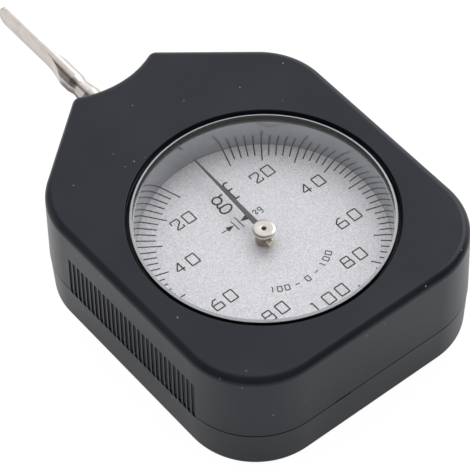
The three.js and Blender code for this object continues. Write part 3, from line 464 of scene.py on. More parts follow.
# %% Case sizes
WINDOW, MOUTH, LIP = 24.7, 24.88, 0.1
SIDE, FOOT = WINDOW + 5.5, WINDOW + 6.4
FOOT_CORNER, SHOULDER_CORNER, NOSE_CORNER = 14.8, 15.0, 2.0
SLOPE = math.radians(39.5)
NOSE_HALF, SCOOP = 11.9, 18.0
PIVOT = WINDOW + 9.3
SCOOP_REACH = PIVOT + 8.6
SHOULDER_REACH = NOSE_HALF * math.sin(SLOPE) + SCOOP_REACH * math.cos(SLOPE)
THICK, PARTING, WALL, FLOOR = 25.0, 9.0, 2.2, 2.0
DRAFT, BACK_DRAFT, FRONT_ROUND, BACK_ROUND, SEAM = 0.2, 0.4, 1.6, 0.9, 0.13
ROOF_UNDERSIDE, DIAL_Z, CRYSTAL_Z, SEAM_DEEP, COVER_STEP = 21.8, 17.4, 23.4, 0.4, 0.06
SHOULDER_X = SIDE - SHOULDER_CORNER
SHOULDER_Y = (SHOULDER_REACH - SHOULDER_CORNER - SHOULDER_X * math.sin(SLOPE)) / math.cos(SLOPE)


def case_outline(inset, nose=None):
    """The outline of the case, moved inwards. It runs anticlockwise from the foot."""
    nose = NOSE_CORNER - inset if nose is None else nose
    hollow = SCOOP + inset
    slope_end = QUARTER - SLOPE
    outward = Vector((math.sin(SLOPE), math.cos(SLOPE)))
    along = Vector((outward.y, -outward.x))
    middle = Vector((0, SCOOP_REACH + SCOOP))
    base = outward * (SHOULDER_REACH - inset - nose) - middle
    half = base.dot(along)
    slide = -half + math.sqrt(half * half - base.length_squared + (hollow + nose) ** 2)
    corner = base + along * slide + middle
    end = math.atan2(middle.y - corner.y, middle.x - corner.x)
    foot_radius = FOOT_CORNER - inset
    right = arc(SIDE - FOOT_CORNER, FOOT_CORNER - FOOT, foot_radius, -QUARTER, 0, 26)
    right += arc(SHOULDER_X, SHOULDER_Y, SHOULDER_CORNER - inset, 0, slope_end, 20)
    right += arc(corner.x, corner.y, nose, slope_end, end, 9)
    right += arc(0, middle.y, hollow, end - math.pi, -QUARTER, 12)[1:]
    left = [(-x, y) for x, y in reversed(right[:-1])]
    return right + left


print("outline points:", len(case_outline(0)), "width", 2 * SIDE, "mm")

# %% [markdown]
# ## The grip grooves
# Both long walls carry 29 upright grooves for the fingers. Instancing one cutter along a line is
# the natural job for Geometry Nodes: the count and pitch stay named inputs, and the result is cut
# out of both shells. The cutter is wider at its mouth, so each rib gets a soft edge.

# %% Geometry Nodes tools
def node_tree(name, **inputs):
    """A new Geometry Nodes tree. inputs names the inputs of each kind, with commas between them."""
    tree = bpy.data.node_groups.new(name, "GeometryNodeTree")
    tree.interface.new_socket(name="Geometry", in_out="INPUT", socket_type="NodeSocketGeometry")
    for kind, labels in inputs.items():
        for label in labels.split(", "):
            tree.interface.new_socket(name=label, in_out="INPUT", socket_type="NodeSocket" + kind)
    tree.interface.new_socket(name="Geometry", in_out="OUTPUT", socket_type="NodeSocketGeometry")
    start = tree.nodes.new("NodeGroupInput")
    end = tree.nodes.new("NodeGroupOutput")
    return tree, start.outputs, end.inputs["Geometry"]


def grow(piece, tree, values, name=None):
    """Runs a tree on a piece, with its inputs set by identifier, and keeps the plain result."""
    modifier = piece.modifiers.new("grow", "NODES")
    modifier.node_group = tree
    for item in tree.interface.items_tree:
        if item.item_type == "SOCKET" and item.in_out == "INPUT" and item.name in values:
            modifier[item.identifier] = values[item.name]
    return plain_mesh(piece, name)


def made_real(tree, geometry, finish, result):
    """Ends a tree: makes its instances real and gives them a finish."""
    solid = step(tree, "GeometryNodeRealizeInstances", {0: geometry})
    worn = step(tree, "GeometryNodeSetMaterial", {"Geometry": solid.outputs[0], "Material": finish})
    tree.links.new(worn.outputs[0], result)


def hidden_part(piece):
    """Takes a pattern piece out of the scene, so that only its instances show."""
    for collection in list(piece.users_collection):
        collection.objects.unlink(piece)
    return piece


print("node tools ready")

# %% One groove cutter
GROOVES, PITCH, GRILLE_Y = 29, 1.27, 0.65
GROOVE_TOP, GROOVE_BOTTOM = 18.15, 8.5


def groove_cutter():
    """A groove as a solid that points along +X, with its mouth at the wall's face."""
    # depth below the wall, half width, how far its ends stand back
    sections = [(-0.42, 0.18, 0.14), (-0.39, 0.30, 0.05), (-0.31, 0.37, 0.0),
                (-0.12, 0.40, 0.0), (-0.03, 0.43, -0.05), (0.02, 0.49, -0.12), (1.0, 0.54, -0.16)]
    rings = []
    for depth, half, back in sections:
        outline = rounded(rectangle(-half, half, GROOVE_BOTTOM + back, GROOVE_TOP - back), 0.12, 2)
        rings.append([(depth, y, z) for y, z in outline])
    return hidden_part(tube("groove_cutter", rings))


cutter = groove_cutter()
tell(cutter)

# %% The row of cutters
def grille_tree():
    """Copies of one cutter along both long walls, made real."""
    tree, given, result = node_tree("grip_grooves", Object="Cutter", Int="Count",
                                    Float="Pitch, Wall, Middle")
    shape = step(tree, "GeometryNodeObjectInfo", {"Object": given["Cutter"]})
    steps = combine(tree, "SUBTRACT", given["Count"], 1.0)
    half = combine(tree, "MULTIPLY", combine(tree, "MULTIPLY", steps, given["Pitch"]), 0.5)
    first = combine(tree, "SUBTRACT", given["Middle"], half)
    joined = step(tree, "GeometryNodeJoinGeometry")
    for side in (1, -1):
        wall = combine(tree, "MULTIPLY", given["Wall"], float(side))
        corner = step(tree, "ShaderNodeCombineXYZ", {"X": wall, "Y": first})
        offset = step(tree, "ShaderNodeCombineXYZ", {"Y": given["Pitch"]})
        line = step(tree, "GeometryNodeMeshLine", {
            "Count": given["Count"], "Start Location": corner.outputs[0], "Offset": offset.outputs[0]})
        row = step(tree, "GeometryNodeInstanceOnPoints", {
            "Points": line.outputs[0], "Instance": shape.outputs["Geometry"],
            "Rotation": (0, 0, 0 if side > 0 else math.pi)})
        tree.links.new(row.outputs[0], joined.inputs[0])
    solid = step(tree, "GeometryNodeRealizeInstances", {0: joined.outputs[0]})
    tree.links.new(solid.outputs[0], result)
    return tree


grille = grille_tree()


def groove_row():
    """All cutters of both walls as one plain mesh."""
    seed = piece_from("groove_row", [(0, 0, 0)], [])
    return grow(seed, grille, {
        "Cutter": cutter, "Count": GROOVES, "Pitch": PITCH * MM,
        "Wall": SIDE * MM, "Middle": GRILLE_Y * MM,
    }, "groove_row")


print("grip grooves:", 2 * GROOVES, "in two rows")

# %% [markdown]
# ## The two shells
# The front shell is a roof with walls, the back cover a floor with walls. Each is a stack of
# outlines from which the hollow, the window, the lever's slot, the screw holes and the grooves
# are cut. The slot's corners are rounded, as a mould would leave them.

# %% What both shells share
BOSS_X, BOSS_FOOT_Y, BOSS_HIGH_Y = SIDE - 7.7, 9.2 - FOOT, SHOULDER_Y + 2
BOSSES = rectangle(-BOSS_X, BOSS_X, BOSS_FOOT_Y, BOSS_HIGH_Y)
BOSS, SCREW_HOLE, SCREW_END = 3.2, 1.2, 15.6
LEVER_Z, ROD, SWING, SLOT_GAP = 10.8, 2.1, math.radians(15), 0.35
SLOT_HALF = ((SCOOP_REACH + NOSE_CORNER - PIVOT) * math.tan(SWING) + ROD / math.cos(SWING) + SLOT_GAP)
NOTCH_LEFT, NOTCH_RIGHT, NOTCH_DEEP, NOTCH_HALF = -9.4, -5.8, 0.8, 0.25


def rod(name, x, y, radius, bottom, top, steps=32):
    """A round bar along Z."""
    return turned(name, [(0, bottom), (radius, bottom), (radius, top), (0, top)], steps, x, y)


def lever_slot():
    return block("slot", -SLOT_HALF, SLOT_HALF, PIVOT, SCOOP_REACH + SCOOP,
                 LEVER_Z - ROD - SLOT_GAP, LEVER_Z + ROD + SLOT_GAP, 0.5)


def pry_notch():
    return block("notch", NOTCH_LEFT, NOTCH_RIGHT, -FOOT - 1, NOTCH_DEEP - FOOT,
                 PARTING - NOTCH_HALF, PARTING + NOTCH_HALF, 0.1)


def hollow(inset, bottom, top):
    outline = case_outline(inset, 0.4)
    return stacked("hollow", [(outline, bottom), (outline, top)])


print("boss places:", [(round(x, 1), round(y, 1)) for x, y in BOSSES])

# %% Front shell
def front_shell():
    levels = [(SEAM_DEEP, PARTING), (SEAM_DEEP, PARTING + SEAM * 0.8), (0.04, PARTING + SEAM),
              (0, PARTING + SEAM * 1.4), (DRAFT, THICK - FRONT_ROUND)]
    levels += [(DRAFT + FRONT_ROUND * (1 - c), THICK - FRONT_ROUND * (1 - s))
               for c, s in quarter_turn(12, 1)]
    body = stacked("front_shell_skin", [(case_outline(inset), z) for inset, z in levels])
    body = carve(body, [hollow(WALL, PARTING - 1, ROOF_UNDERSIDE)])
    body = carve(body, [rod("boss", x, y, BOSS, PARTING, ROOF_UNDERSIDE + 1) for x, y in BOSSES], "UNION")
    lip = [(MOUTH + LIP * (1 - s), THICK - LIP * (1 - c)) for c, s in reversed(quarter_turn(5))]
    low = ROOF_UNDERSIDE - 1
    window = [(0, low), (WINDOW, low), (WINDOW, THICK - 1.2), (MOUTH, THICK - 1.1), *lip,
              (MOUTH + LIP, THICK + 1), (0, THICK + 1)]
    cuts = [turned("window_cut", window, 160), lever_slot(), pry_notch(), groove_row()]
    cuts += [rod("hole", x, y, SCREW_HOLE, PARTING - 1, SCREW_END, 24) for x, y in BOSSES]
    return level_shading(carve(body, cuts))


front = wear(front_shell(), moulding)
tell(front)

# %% Back cover
TONGUE_GAP, TONGUE_THICK, TONGUE_HIGH, TONGUE_ROOT = 0.15, 1.0, 1.2, 1.6
POSTS = rectangle(-15.8, 15.8, -9, 10)
POST, POST_TOP, POST_HOLE = 2.6, 2.6, 1.0


def seam_tongue(inset, top):
    """A rim just inside the walls, from below the parting up to a height."""
    inner = hollow(WALL + TONGUE_GAP + TONGUE_THICK, PARTING - TONGUE_ROOT - 1, PARTING + TONGUE_HIGH + 1)
    return carve(hollow(inset, PARTING - TONGUE_ROOT, top), [inner])


def back_cover():
    levels = [(BACK_DRAFT + BACK_ROUND * (1 - s), BACK_ROUND * (1 - c)) for c, s in quarter_turn(8)]
    levels += [(COVER_STEP, PARTING - SEAM * 1.4), (0.10, PARTING - SEAM),
               (COVER_STEP + SEAM_DEEP, PARTING - SEAM * 0.8), (COVER_STEP + SEAM_DEEP, PARTING)]
    body = stacked("back_cover_skin", [(case_outline(inset), z) for inset, z in levels])
    body = carve(body, [hollow(WALL, FLOOR, PARTING + 1)])
    lip = seam_tongue(WALL + TONGUE_GAP, PARTING + TONGUE_HIGH)
    foot = seam_tongue(WALL / 2, PARTING - SEAM)
    lip = carve(lip, [rod("clear", x, y, BOSS + TONGUE_GAP, PARTING, PARTING + TONGUE_HIGH + 1)
                      for x, y in BOSSES])
    posts = [rod("post", x, y, POST, FLOOR / 2, POST_TOP) for x, y in POSTS]
    bosses = [rod("boss", x, y, BOSS, FLOOR / 2, PARTING) for x, y in BOSSES]
    body = carve(body, [lip, foot, *posts, *bosses], "UNION")
    head_hole = [(0, -1), (2.65, -1), (2.65, 0), (2.4, 0.25), (2.4, 2.6), (SCREW_HOLE, 2.6),
                 (SCREW_HOLE, PARTING + 1), (0, PARTING + 1)]
    cuts = [lever_slot(), pry_notch(), groove_row()]
    cuts += [turned("head_hole", head_hole, 40, x, y) for x, y in BOSSES]
    cuts += [rod("post_hole", x, y, POST_HOLE, 0.95, 4.0, 16) for x, y in POSTS]
    return level_shading(carve(body, cuts))


back = wear(back_cover(), moulding)
tell(back)

# %% [markdown]
# ## Finishes: metals
# Nickel, steel and brass are all plain metals here, and what tells them apart is how they were
# worked. Turned faces carry fine rings, drawn and milled parts fine lines along their length.
# A stretched noise gives lines, and a ring wave about the axis gives the marks of the lathe.
# The hub's brown blotches and the arbor's dark tone are painted shade.

# %% Metals
def brushed_metal(name, color, dark, roughness, stretch):
    """Metal with fine lines. stretch is small along the direction of the lines."""
    finish, tree, shader = new_finish(name, color, roughness, 1.0)
    lines = noise(tree, place(tree, stretch), 900, 3, 0.7)
    film = noise(tree, place(tree), 240, 3, 0.6)
    tone = between(tree, spread(tree, film, 0.4, 0.75, 0, 0.6), color, dark)
    tone = between(tree, spread(tree, lines, 0.35, 0.7, 0, 0.35), tone, dark)
    coat(tree, shader, tone, lines, roughness * 0.8, roughness * 1.3)
    relief(tree, shader, lines, 0.10, 0.01)
    return finish


def turned_metal(name, color, dark, roughness, rings_per_mm):
    """Metal with the fine rings of a lathe about the Z axis."""
    finish, tree, shader = new_finish(name, color, roughness, 1.0)
    where = place(tree)
    rings = step(tree, "ShaderNodeTexWave", {
        "Vector": where, "Scale": rings_per_mm * 1000 / 3, "Distortion": 1.5, "Detail": 1.0},
        wave_type="RINGS", rings_direction="Z")
    film = noise(tree, where, 700, 3, 0.6)
    tone = between(tree, spread(tree, film, 0.35, 0.75, 0, 0.7), color, dark)
    coat(tree, shader, tone, film, roughness * 0.85, roughness * 1.25)
    relief(tree, shader, rings.outputs["Fac"], 0.12, 0.008)
    return finish


lever_nickel = brushed_metal("lever_nickel", "e6ded9", "c2b8b0", 0.24, (1, 0.06, 1))
# Painted shade: the hub's brownish tone and dark brown blotches stand for the shade and dark reflections
# under the cap.
hub_nickel = turned_metal("hub_nickel", "b5a592", "3c2c20", 0.14, 5)
satin_nickel = turned_metal("satin_nickel", "ece5dd", "dbd2c8", 0.3, 5)
# The arbor's dark tone is painted shade. Together with the real shade of the cap's bore it makes the dark
# dot in the cap.
aged_steel = turned_metal("aged_steel", "6e6257", "4a4038", 0.35, 6)
screw_brass = turned_metal("screw_brass", "fff4dc", "efdcb6", 0.5, 6)
plate_brass = brushed_metal("plate_brass", "c9a968", "96763f", 0.3, (1, 0.05, 1))
turned_brass = turned_metal("turned_brass", "cfae6c", "98773f", 0.26, 5)
bright_steel = turned_metal("bright_steel", "b4b6b9", "85878b", 0.26, 6)
blued_steel = brushed_metal("blued_steel", "3c4f7c", "28304d", 0.25, (1, 0.08, 1))
print("metal finishes ready")

# %% Blackened screw steel
def black_oxide():
    finish, tree, shader = new_finish("black_oxide", "2a2b2e", 0.42, 0.85)
    where = place(tree)
    patch = noise(tree, where, 900, 4, 0.65)
    tone = between(tree, spread(tree, patch, 0.35, 0.7, 0, 1), "232427", "3b3a3a")
    coat(tree, shader, tone, patch, 0.36, 0.5)
    relief(tree, shader, noise(tree, where, 5200, 2, 0.5), 0.1, 0.01)
    return finish


oxide = black_oxide()
print("finish:", oxide.name)

# %% [markdown]
# ## The case screws
# Four screws with a cross recess hold the shells together from the back. One screw is turned and
# its cross is cut, then Geometry Nodes sets a copy on each of four points. The copies are made
# real at the end of the tree, because an export drops instances.

# %% One screw and the four
def one_case_screw():
    """A screw whose head bottom lies at z 0, with the cross in that end."""
    profile = rounded([(0, 0), (2.2, 0), (2.2, 1.5), (1.1, 1.5), (1.1, 12.9), (0.5, 13.5), (0, 13.5)],
                      0.22, 4, closed=False, keep=(3, 4, 5))
    body = turned("case_screw_one", profile, 40)
    # half length, half width and height of the cross, from its mouth to its floor
    sections = [(rectangle(-reach, reach, -half, half), height)
                for reach, half, height in ((1.6, 0.29, -1), (1.5, 0.25, 0.0), (0.9, 0.2, 0.9))]
    arms = [stacked("arm", sections) for _ in range(2)]
    arms[1].data.transform(Matrix.Rotation(QUARTER, 4, "Z"))
    return hidden_part(level_shading(carve(body, arms), 35))


def screws_tree():
    tree, given, result = node_tree("screws_on_points", Object="Screw", Material="Finish",
                                    Int="Turn Seed")
    shape = step(tree, "GeometryNodeObjectInfo", {"Object": given["Screw"], "As Instance": True})
    turn = step(tree, "FunctionNodeRandomValue",
                {"Seed": given["Turn Seed"], 2: 0.0, 3: 3.1}, data_type="FLOAT")
    angle = step(tree, "ShaderNodeCombineXYZ", {"Z": turn.outputs[1]})
    screws = step(tree, "GeometryNodeInstanceOnPoints", {
        "Points": given["Geometry"], "Instance": shape.outputs["Geometry"], "Rotation": angle.outputs[0]})
    made_real(tree, screws.outputs[0], given["Finish"], result)
    return tree


case_screw_points = piece_from("case_screws", [(x, y, 1.1) for x, y in BOSSES], [])
case_screws = grow(case_screw_points, screws_tree(),
                   {"Screw": one_case_screw(), "Finish": oxide, "Turn Seed": 3}, "case_screws")
tell(case_screws)

# %% [markdown]
# ## The window
# The crystal is a flat acrylic disc with a ground bevel. Real glass would bend the view of the dial
# by a fraction of a millimetre, but a clear mix that lets light straight through is lighter to
# render and keeps the printed marks crisp. Fresnel decides how much of the room it mirrors. Only
# faces seen from outside mirror, so the inside of the disc does not turn into a mirror. The bevel
# is dull and pale. The wall below it gets the black rubber finish as painted shade: the dark line round
# the window.

# %% Clear and ground acrylic
def clear_acrylic():
    finish, tree, shader = new_finish("clear_acrylic", (0.9, 0.92, 0.93, 1), 0.04)
    tree.nodes.remove(shader)
    clear = step(tree, "ShaderNodeBsdfTransparent", {"Color": (0.985, 0.99, 0.99, 1)})
    smear = noise(tree, place(tree), 90, 4, 0.6)
    gloss = step(tree, "ShaderNodeBsdfGlossy", {"Roughness": spread(tree, smear, 0.35, 0.7, 0.02, 0.09)})
    rim = step(tree, "ShaderNodeFresnel", {"IOR": 1.49})
    side = step(tree, "ShaderNodeNewGeometry")
    front_only = combine(tree, "SUBTRACT", 1.0, side.outputs["Backfacing"])
    mixed(tree, combine(tree, "MULTIPLY", rim.outputs[0], front_only), clear, gloss)
    return finish


def ground_acrylic():
    """The turned bevel of the disc: dull, pale and half clear."""
    finish, tree, shader = new_finish("ground_acrylic", "b4b6ba", 0.35)
    lines = noise(tree, place(tree), 2600, 2, 0.5)
    tree.links.new(between(tree, lines, "acaeb2", "bec0c4"), shader.inputs["Base Color"])
    mixed(tree, 0.88, step(tree, "ShaderNodeBsdfTransparent"), shader)
    return finish


clear, ground = clear_acrylic(), ground_acrylic()
print("finishes:", clear.name, ground.name)

# %% Rubber
rubber = noisy_finish("black_rubber", "0d0e10", 0.6, (3500, 2, 0.6), ("08090b", "15161a"),
                      gloss=(0.5, 0.75), bump=(0.2, 0.02))
print("finish:", rubber.name)

# %% Crystal
CRYSTAL, RIM_OUTER, RIM = WINDOW - 0.64, WINDOW - 0.95, WINDOW - 1.4
BEVEL_START = CRYSTAL - 0.56


def make_crystal():
    profile = [(0, CRYSTAL_Z), (CRYSTAL - 0.1, CRYSTAL_Z), (CRYSTAL, CRYSTAL_Z + 0.1),
               (CRYSTAL, THICK - 0.85), (CRYSTAL, THICK - 0.4), (CRYSTAL - 0.05, THICK - 0.29),
               (CRYSTAL - 0.42, THICK - 0.03), (CRYSTAL - 0.5, THICK), (0, THICK)]
    piece = wear(turned("crystal_disc", profile, 160), clear, ground, rubber)
    for face in piece.data.polygons:
        radius = math.hypot(face.center.x, face.center.y) / MM
        # Upward bevel faces get the ground finish. The steeper wall faces get black rubber as painted
        # shade for the dark gap round the window.
        if radius > BEVEL_START and abs(face.normal.z) < 0.995:
            face.material_index = 1 if face.normal.z > 0.5 else 2
    return level_shading(piece, 20)


crystal = make_crystal()
tell(crystal)

# %% Rubber seal
SEAL_GAP = 0.06
seal_profile = rounded(rectangle(RIM_OUTER + SEAL_GAP, WINDOW - SEAL_GAP, ROOF_UNDERSIDE, CRYSTAL_Z - 0.2),
                       0.12, 3)
seal = turned_part("crystal_seal", seal_profile, 128, rubber)
tell(seal)

# %% [markdown]
# ## The dial and its ring
# The dial is a thin plate sprayed with silver paint. Its grain is the metal powder in the paint: a
# noise of a quarter of a millimetre, and flakes half that size that shine each by themselves. Round
# it stands a grey moulded ring, polished like metal, whose inner wall mirrors the scale.

# %% Dial finishes
def silver_dial():
    finish, tree, shader = new_finish("silver_dial", "d6d6d9", 0.5, 0.15)
    where = place(tree)
    grain = noise(tree, where, 3600, 2, 0.6)
    broad = noise(tree, where, 45, 2, 0.5)
    tone = between(tree, spread(tree, grain, 0.3, 0.7, 0, 1), "bfbcc2", "e9e6ea")
    tone = between(tree, spread(tree, broad, 0.3, 0.7, 0, 0.18), tone, "cdcdd3")
    _, flakes = cells(tree, where, 7000)
    tone = between(tree, spread(tree, flakes[0], 0.9, 1.0, 0, 0.5), tone, "f4f4f6")
    tree.links.new(tone, shader.inputs["Base Color"])
    tree.links.new(spread(tree, flakes[1], 0.0, 1.0, 0.42, 0.62), shader.inputs["Roughness"])
    relief(tree, shader, grain, 0.15, 0.01)
    return finish


silver = silver_dial()
grey = noisy_finish("grey_plastic", "b5b7bb", 0.1, (120, 2, 0.5), ("acaeb2", "b6b8bc"),
                    gloss=(0.11, 0.17), metallic=0.8)
print("finishes:", silver.name, grey.name)

# %% Dial plate and ring
RING_FOOT = RIM - 0.35
FLANGE, DIAL_EDGE, DIAL_HOLE, DIAL_THICK = WINDOW + 1.3, RING_FOOT + 2.45, 0.9, 0.6
dial_profile = rounded(rectangle(DIAL_HOLE, DIAL_EDGE, DIAL_Z - DIAL_THICK, DIAL_Z), 0.08, 2)
dial = turned_part("dial_disc", dial_profile, 128, silver)
ring_profile = rounded([(RING_FOOT, DIAL_Z), (FLANGE, DIAL_Z), (FLANGE, ROOF_UNDERSIDE),
                        (RIM_OUTER, ROOF_UNDERSIDE), (RIM_OUTER, CRYSTAL_Z), (RIM, CRYSTAL_Z)],
                       0.12, 3, keep=(0, 4))
ring = turned_part("dial_wall", ring_profile, 160, grey)
tell(dial, ring)

# %% [markdown]
# ## Finish: printing ink
# The marks are pad-printed in dark grey. They are modelled as ink two hundredths of a millimetre
# thick, so they cast no shadow but stay exact at any distance. A coarse noise thins the ink a
# little, as a worn pad does.

# %% Ink
ink = noisy_finish("dial_ink", "303033", 0.55, (2400, 3, 0.7), ("1d1d20", "3a3a3d"),
                   gloss=(0.45, 0.65), span=(0.5, 0.85))
INK_THICK = 0.02
PRINT_X, PRINT_Y = 0.57, -0.47
print("finish:", ink.name)

# %% [markdown]
# ## The scale
# From 10 to 100 on both sides there is a line every 3.6 degrees, and every fifth is longer. A
# Geometry Nodes tree turns the index of each point into its angle, stretches one small bar to the
# right length and sets it on the circle. This is a rule, so it needs no list of 91 lines.

# %% Tick tree
def ticks_tree():
    tree, given, result = node_tree(
        "scale_ticks", Int="Count", Vector="Centre", Material="Ink",
        Float="Step Angle, First Step, Long Every, Outer Radius, Short Radius, Long Radius, "
              "Width, Thickness")

    def calc(operation, first, second=0.0):
        return combine(tree, operation, first, second)

    index = step(tree, "GeometryNodeInputIndex").outputs[0]
    angle = calc("MULTIPLY", calc("ADD", index, given["First Step"]), given["Step Angle"])
    is_long = calc("LESS_THAN", calc("MODULO", index, given["Long Every"]), 0.5)
    drop = calc("MULTIPLY", is_long, calc("SUBTRACT", given["Short Radius"], given["Long Radius"]))
    inner = calc("SUBTRACT", given["Short Radius"], drop)
    length = calc("SUBTRACT", given["Outer Radius"], inner)
    middle = calc("MULTIPLY", calc("ADD", given["Outer Radius"], inner), 0.5)
    spot = step(tree, "ShaderNodeCombineXYZ", {"X": calc("MULTIPLY", middle, calc("SINE", angle)),
                                               "Y": calc("MULTIPLY", middle, calc("COSINE", angle))})
    where = step(tree, "ShaderNodeVectorMath", {0: spot.outputs[0], 1: given["Centre"]}, operation="ADD")
    points = step(tree, "GeometryNodePoints", {"Count": given["Count"], "Position": where.outputs[0]})
    size = step(tree, "ShaderNodeCombineXYZ", {"X": given["Width"], "Y": 1.0, "Z": given["Thickness"]})
    bar = step(tree, "GeometryNodeMeshCube", {"Size": size.outputs[0]})
    turn = step(tree, "ShaderNodeCombineXYZ", {"Z": calc("MULTIPLY", angle, -1.0)})
    stretch = step(tree, "ShaderNodeCombineXYZ", {"X": 1.0, "Y": length, "Z": 1.0})
    bars = step(tree, "GeometryNodeInstanceOnPoints", {
        "Points": points.outputs[0], "Instance": bar.outputs[0],
        "Rotation": turn.outputs[0], "Scale": stretch.outputs[0]})
    made_real(tree, bars.outputs[0], given["Ink"], result)
    return tree


scale_lines = grow(piece_from("scale_lines", [(0, 0, 0)], []), ticks_tree(), {
    "Count": 91, "Step Angle": math.radians(3.6), "First Step": 5.0, "Long Every": 5.0,
    "Outer Radius": (RING_FOOT + 0.8) * MM, "Short Radius": 20.35 * MM, "Long Radius": 19.07 * MM,
    "Width": 0.25 * MM, "Thickness": INK_THICK * MM,
    "Centre": (PRINT_X * MM, PRINT_Y * MM, (DIAL_Z + INK_THICK / 2) * MM), "Ink": ink,
}, "scale_lines")
tell(scale_lines)

# %% [markdown]
# ## Numbers and marks
# The numbers have one line width everywhere, as if drawn with a stylus. So each is a list of pen
# strokes in a cell one wide and one high. A second tree rounds the corners of every stroke and
# draws a flat ribbon along it. Only plain numbers, the unit and the division mark are printed. The
# print sits half a millimetre off the dial's centre, as a hand-placed pad leaves it.

# %% Pen strokes
STROKES = {
    "0": [[(0, 0), (1, 0), (1, 1), (0, 1), "closed"]],
    "1": [[(0.26, 0.95), (0.5, 1.0), (0.5, 0.0)]],
    "2": [[(0.02, 0.66), (0.02, 1), (0.92, 1), (0.92, 0.62), (0.0, 0.0), (0.98, 0.0), (0.98, 0.24)]],
    "4": [[(0.72, 0.0), (0.72, 1.0)], [(0.72, 1.0), (0.0, 0.28), (1.0, 0.28)]],
    "6": [[(0.80, 1.0), (0.42, 1.0), (0.0, 0.68), (0, 0), (1, 0), (1, 0.54), (0, 0.54)]],
    "8": [[(0.06, 0.53), (0.06, 1), (0.94, 1), (0.94, 0.53)],
          [(0, 0), (1, 0), (1, 0.53), (0, 0.53), "closed"]],
    "-": [[(0.0, 0.5), (1.0, 0.5)]],
    "g": [[(0.0, 0.3), (0.9, 0.3), (0.9, 1.0), (0.0, 1.0), "closed"],
          [(0.9, 0.95), (0.9, -0.1), (0.7, -0.35), (0.05, -0.3)]],
}


def written(text, x, y, width, height, pitch, turn=0.0):
    """Strokes of a text whose middle lies at a point, in millimetres."""
    drawn = []
    for i, letter in enumerate(text):
        left = (i - (len(text) - 1) / 2) * pitch - width / 2
        for stroke in STROKES[letter]:
            closed = stroke[-1] == "closed"
            points = []
            for u, v in stroke[:-1] if closed else stroke:
                dx, dy = left + u * width, (v - 0.5) * height
                points.append((x + dx * math.cos(turn) - dy * math.sin(turn),
                               y + dx * math.sin(turn) + dy * math.cos(turn)))
            drawn.append((points, closed))
    return drawn


def loop(x, y, rx, ry, steps=28):
    """An ellipse as one closed stroke."""
    return ([(x + rx * math.cos(TURN * k / steps), y + ry * math.sin(TURN * k / steps))
             for k in range(steps)], True)


print("strokes known for:", " ".join(STROKES))

# %% Ribbon tree
def ribbon_tree():
    tree, given, result = node_tree("pen_strokes", Float="Line Width, Thickness, Corner Radius",
                                    Material="Ink")
    soft = step(tree, "GeometryNodeFilletCurve", {
        "Curve": given["Geometry"], "Radius": given["Corner Radius"], "Limit Radius": True, "Count": 5},
        mode="POLY")
    nib = step(tree, "GeometryNodeCurvePrimitiveQuadrilateral", {
        "Width": given["Line Width"], "Height": given["Thickness"]})
    ribbon = step(tree, "GeometryNodeCurveToMesh", {
        "Curve": soft.outputs[0], "Profile Curve": nib.outputs[0], "Fill Caps": True})
    flat = step(tree, "GeometryNodeSetShadeSmooth", {0: ribbon.outputs[0], "Shade Smooth": False})
    made_real(tree, flat.outputs[0], given["Ink"], result)
    return tree


ribbons = ribbon_tree()


def inked(name, strokes, line, corner):
    """Strokes as ink ribbons that lie on the dial."""
    curve = poly_curve(name, "3D", strokes)
    curve.twist_mode = "Z_UP"
    piece = grow(placed(name, curve), ribbons, {"Line Width": line * MM, "Thickness": INK_THICK * MM,
                                                "Corner Radius": corner * MM, "Ink": ink}, name)
    heights = [v.co.z / MM for v in piece.data.vertices]
    piece.data.transform(Matrix.Translation((0, 0, (DIAL_Z - min(heights)) * MM)))
    print(name, "lies", round(max(heights) - min(heights), 3), "mm thick")
    return piece


print("ribbon tree:", len(ribbons.nodes), "nodes")

# %% Numbers of the scale
DIGIT_W, DIGIT_H, WIDE, NARROW = 1.82, 2.3, 3.03, 2.68
number_places = [("20", -8.99, 13.46, NARROW), ("40", -14.65, 5.37, WIDE), ("60", -14.58, -5.42, WIDE),
                 ("80", -9.23, -13.33, WIDE), ("100", 0.0, -17.04, WIDE), ("80", 9.3, -12.85, WIDE),
                 ("60", 14.4, -5.31, WIDE), ("40", 14.54, 5.04, WIDE), ("20", 9.07, 12.88, NARROW)]
number_strokes = []
for text, x, y, pitch in number_places:
    number_strokes += written(text, PRINT_X + x, PRINT_Y + y, DIGIT_W, DIGIT_H, pitch)
scale_numbers = inked("scale_numbers", number_strokes, 0.27, 0.16)
print("scale numbers:", len(number_strokes), "strokes")

# %% Range of the scale on the lower arc
def arc_text(words, radius, width, height):
    """Small plain numbers along an arc below the centre. words holds a text and its place."""
    strokes = []
    for letter, place_mm in words:
        angle = place_mm / radius
        x = PRINT_X + radius * math.sin(angle)
        y = PRINT_Y - radius * math.cos(angle)
        strokes += written(letter, x, y, width, height, width, angle)
    return strokes


range_words = [("1", -6.9), ("0", -5.6), ("0", -4.2), ("-", -2.2), ("0", 0.0), ("-", 2.2),
               ("1", 4.2), ("0", 5.6), ("0", 7.0)]
range_marks = inked("range_marks", arc_text(range_words, 11.2, 0.82, 1.12), 0.2, 0.12)
tell(range_marks)

# %% Unit and division mark
def letter_g(x, y, size):
    """A two-storey g about the middle of its upper bowl."""
    tail = [(-0.45, -0.72), (-0.82, -1.12), (-0.86, -1.42), (-0.42, -1.62), (0.35, -1.60), (0.98, -1.72),
            (1.30, -2.10), (1.22, -2.58), (0.70, -3.02), (0.0, -3.20), (-0.70, -3.05), (-1.08, -2.60),
            (-1.02, -2.05), (-0.62, -1.62)]
    ear = [(0.62, 0.46), (1.05, 0.56), (1.62, 0.60)]
    return [loop(x, y, 0.86 * size, 0.80 * size),
            *(([(x + u * size, y + v * size) for u, v in stroke], False) for stroke in (tail, ear))]


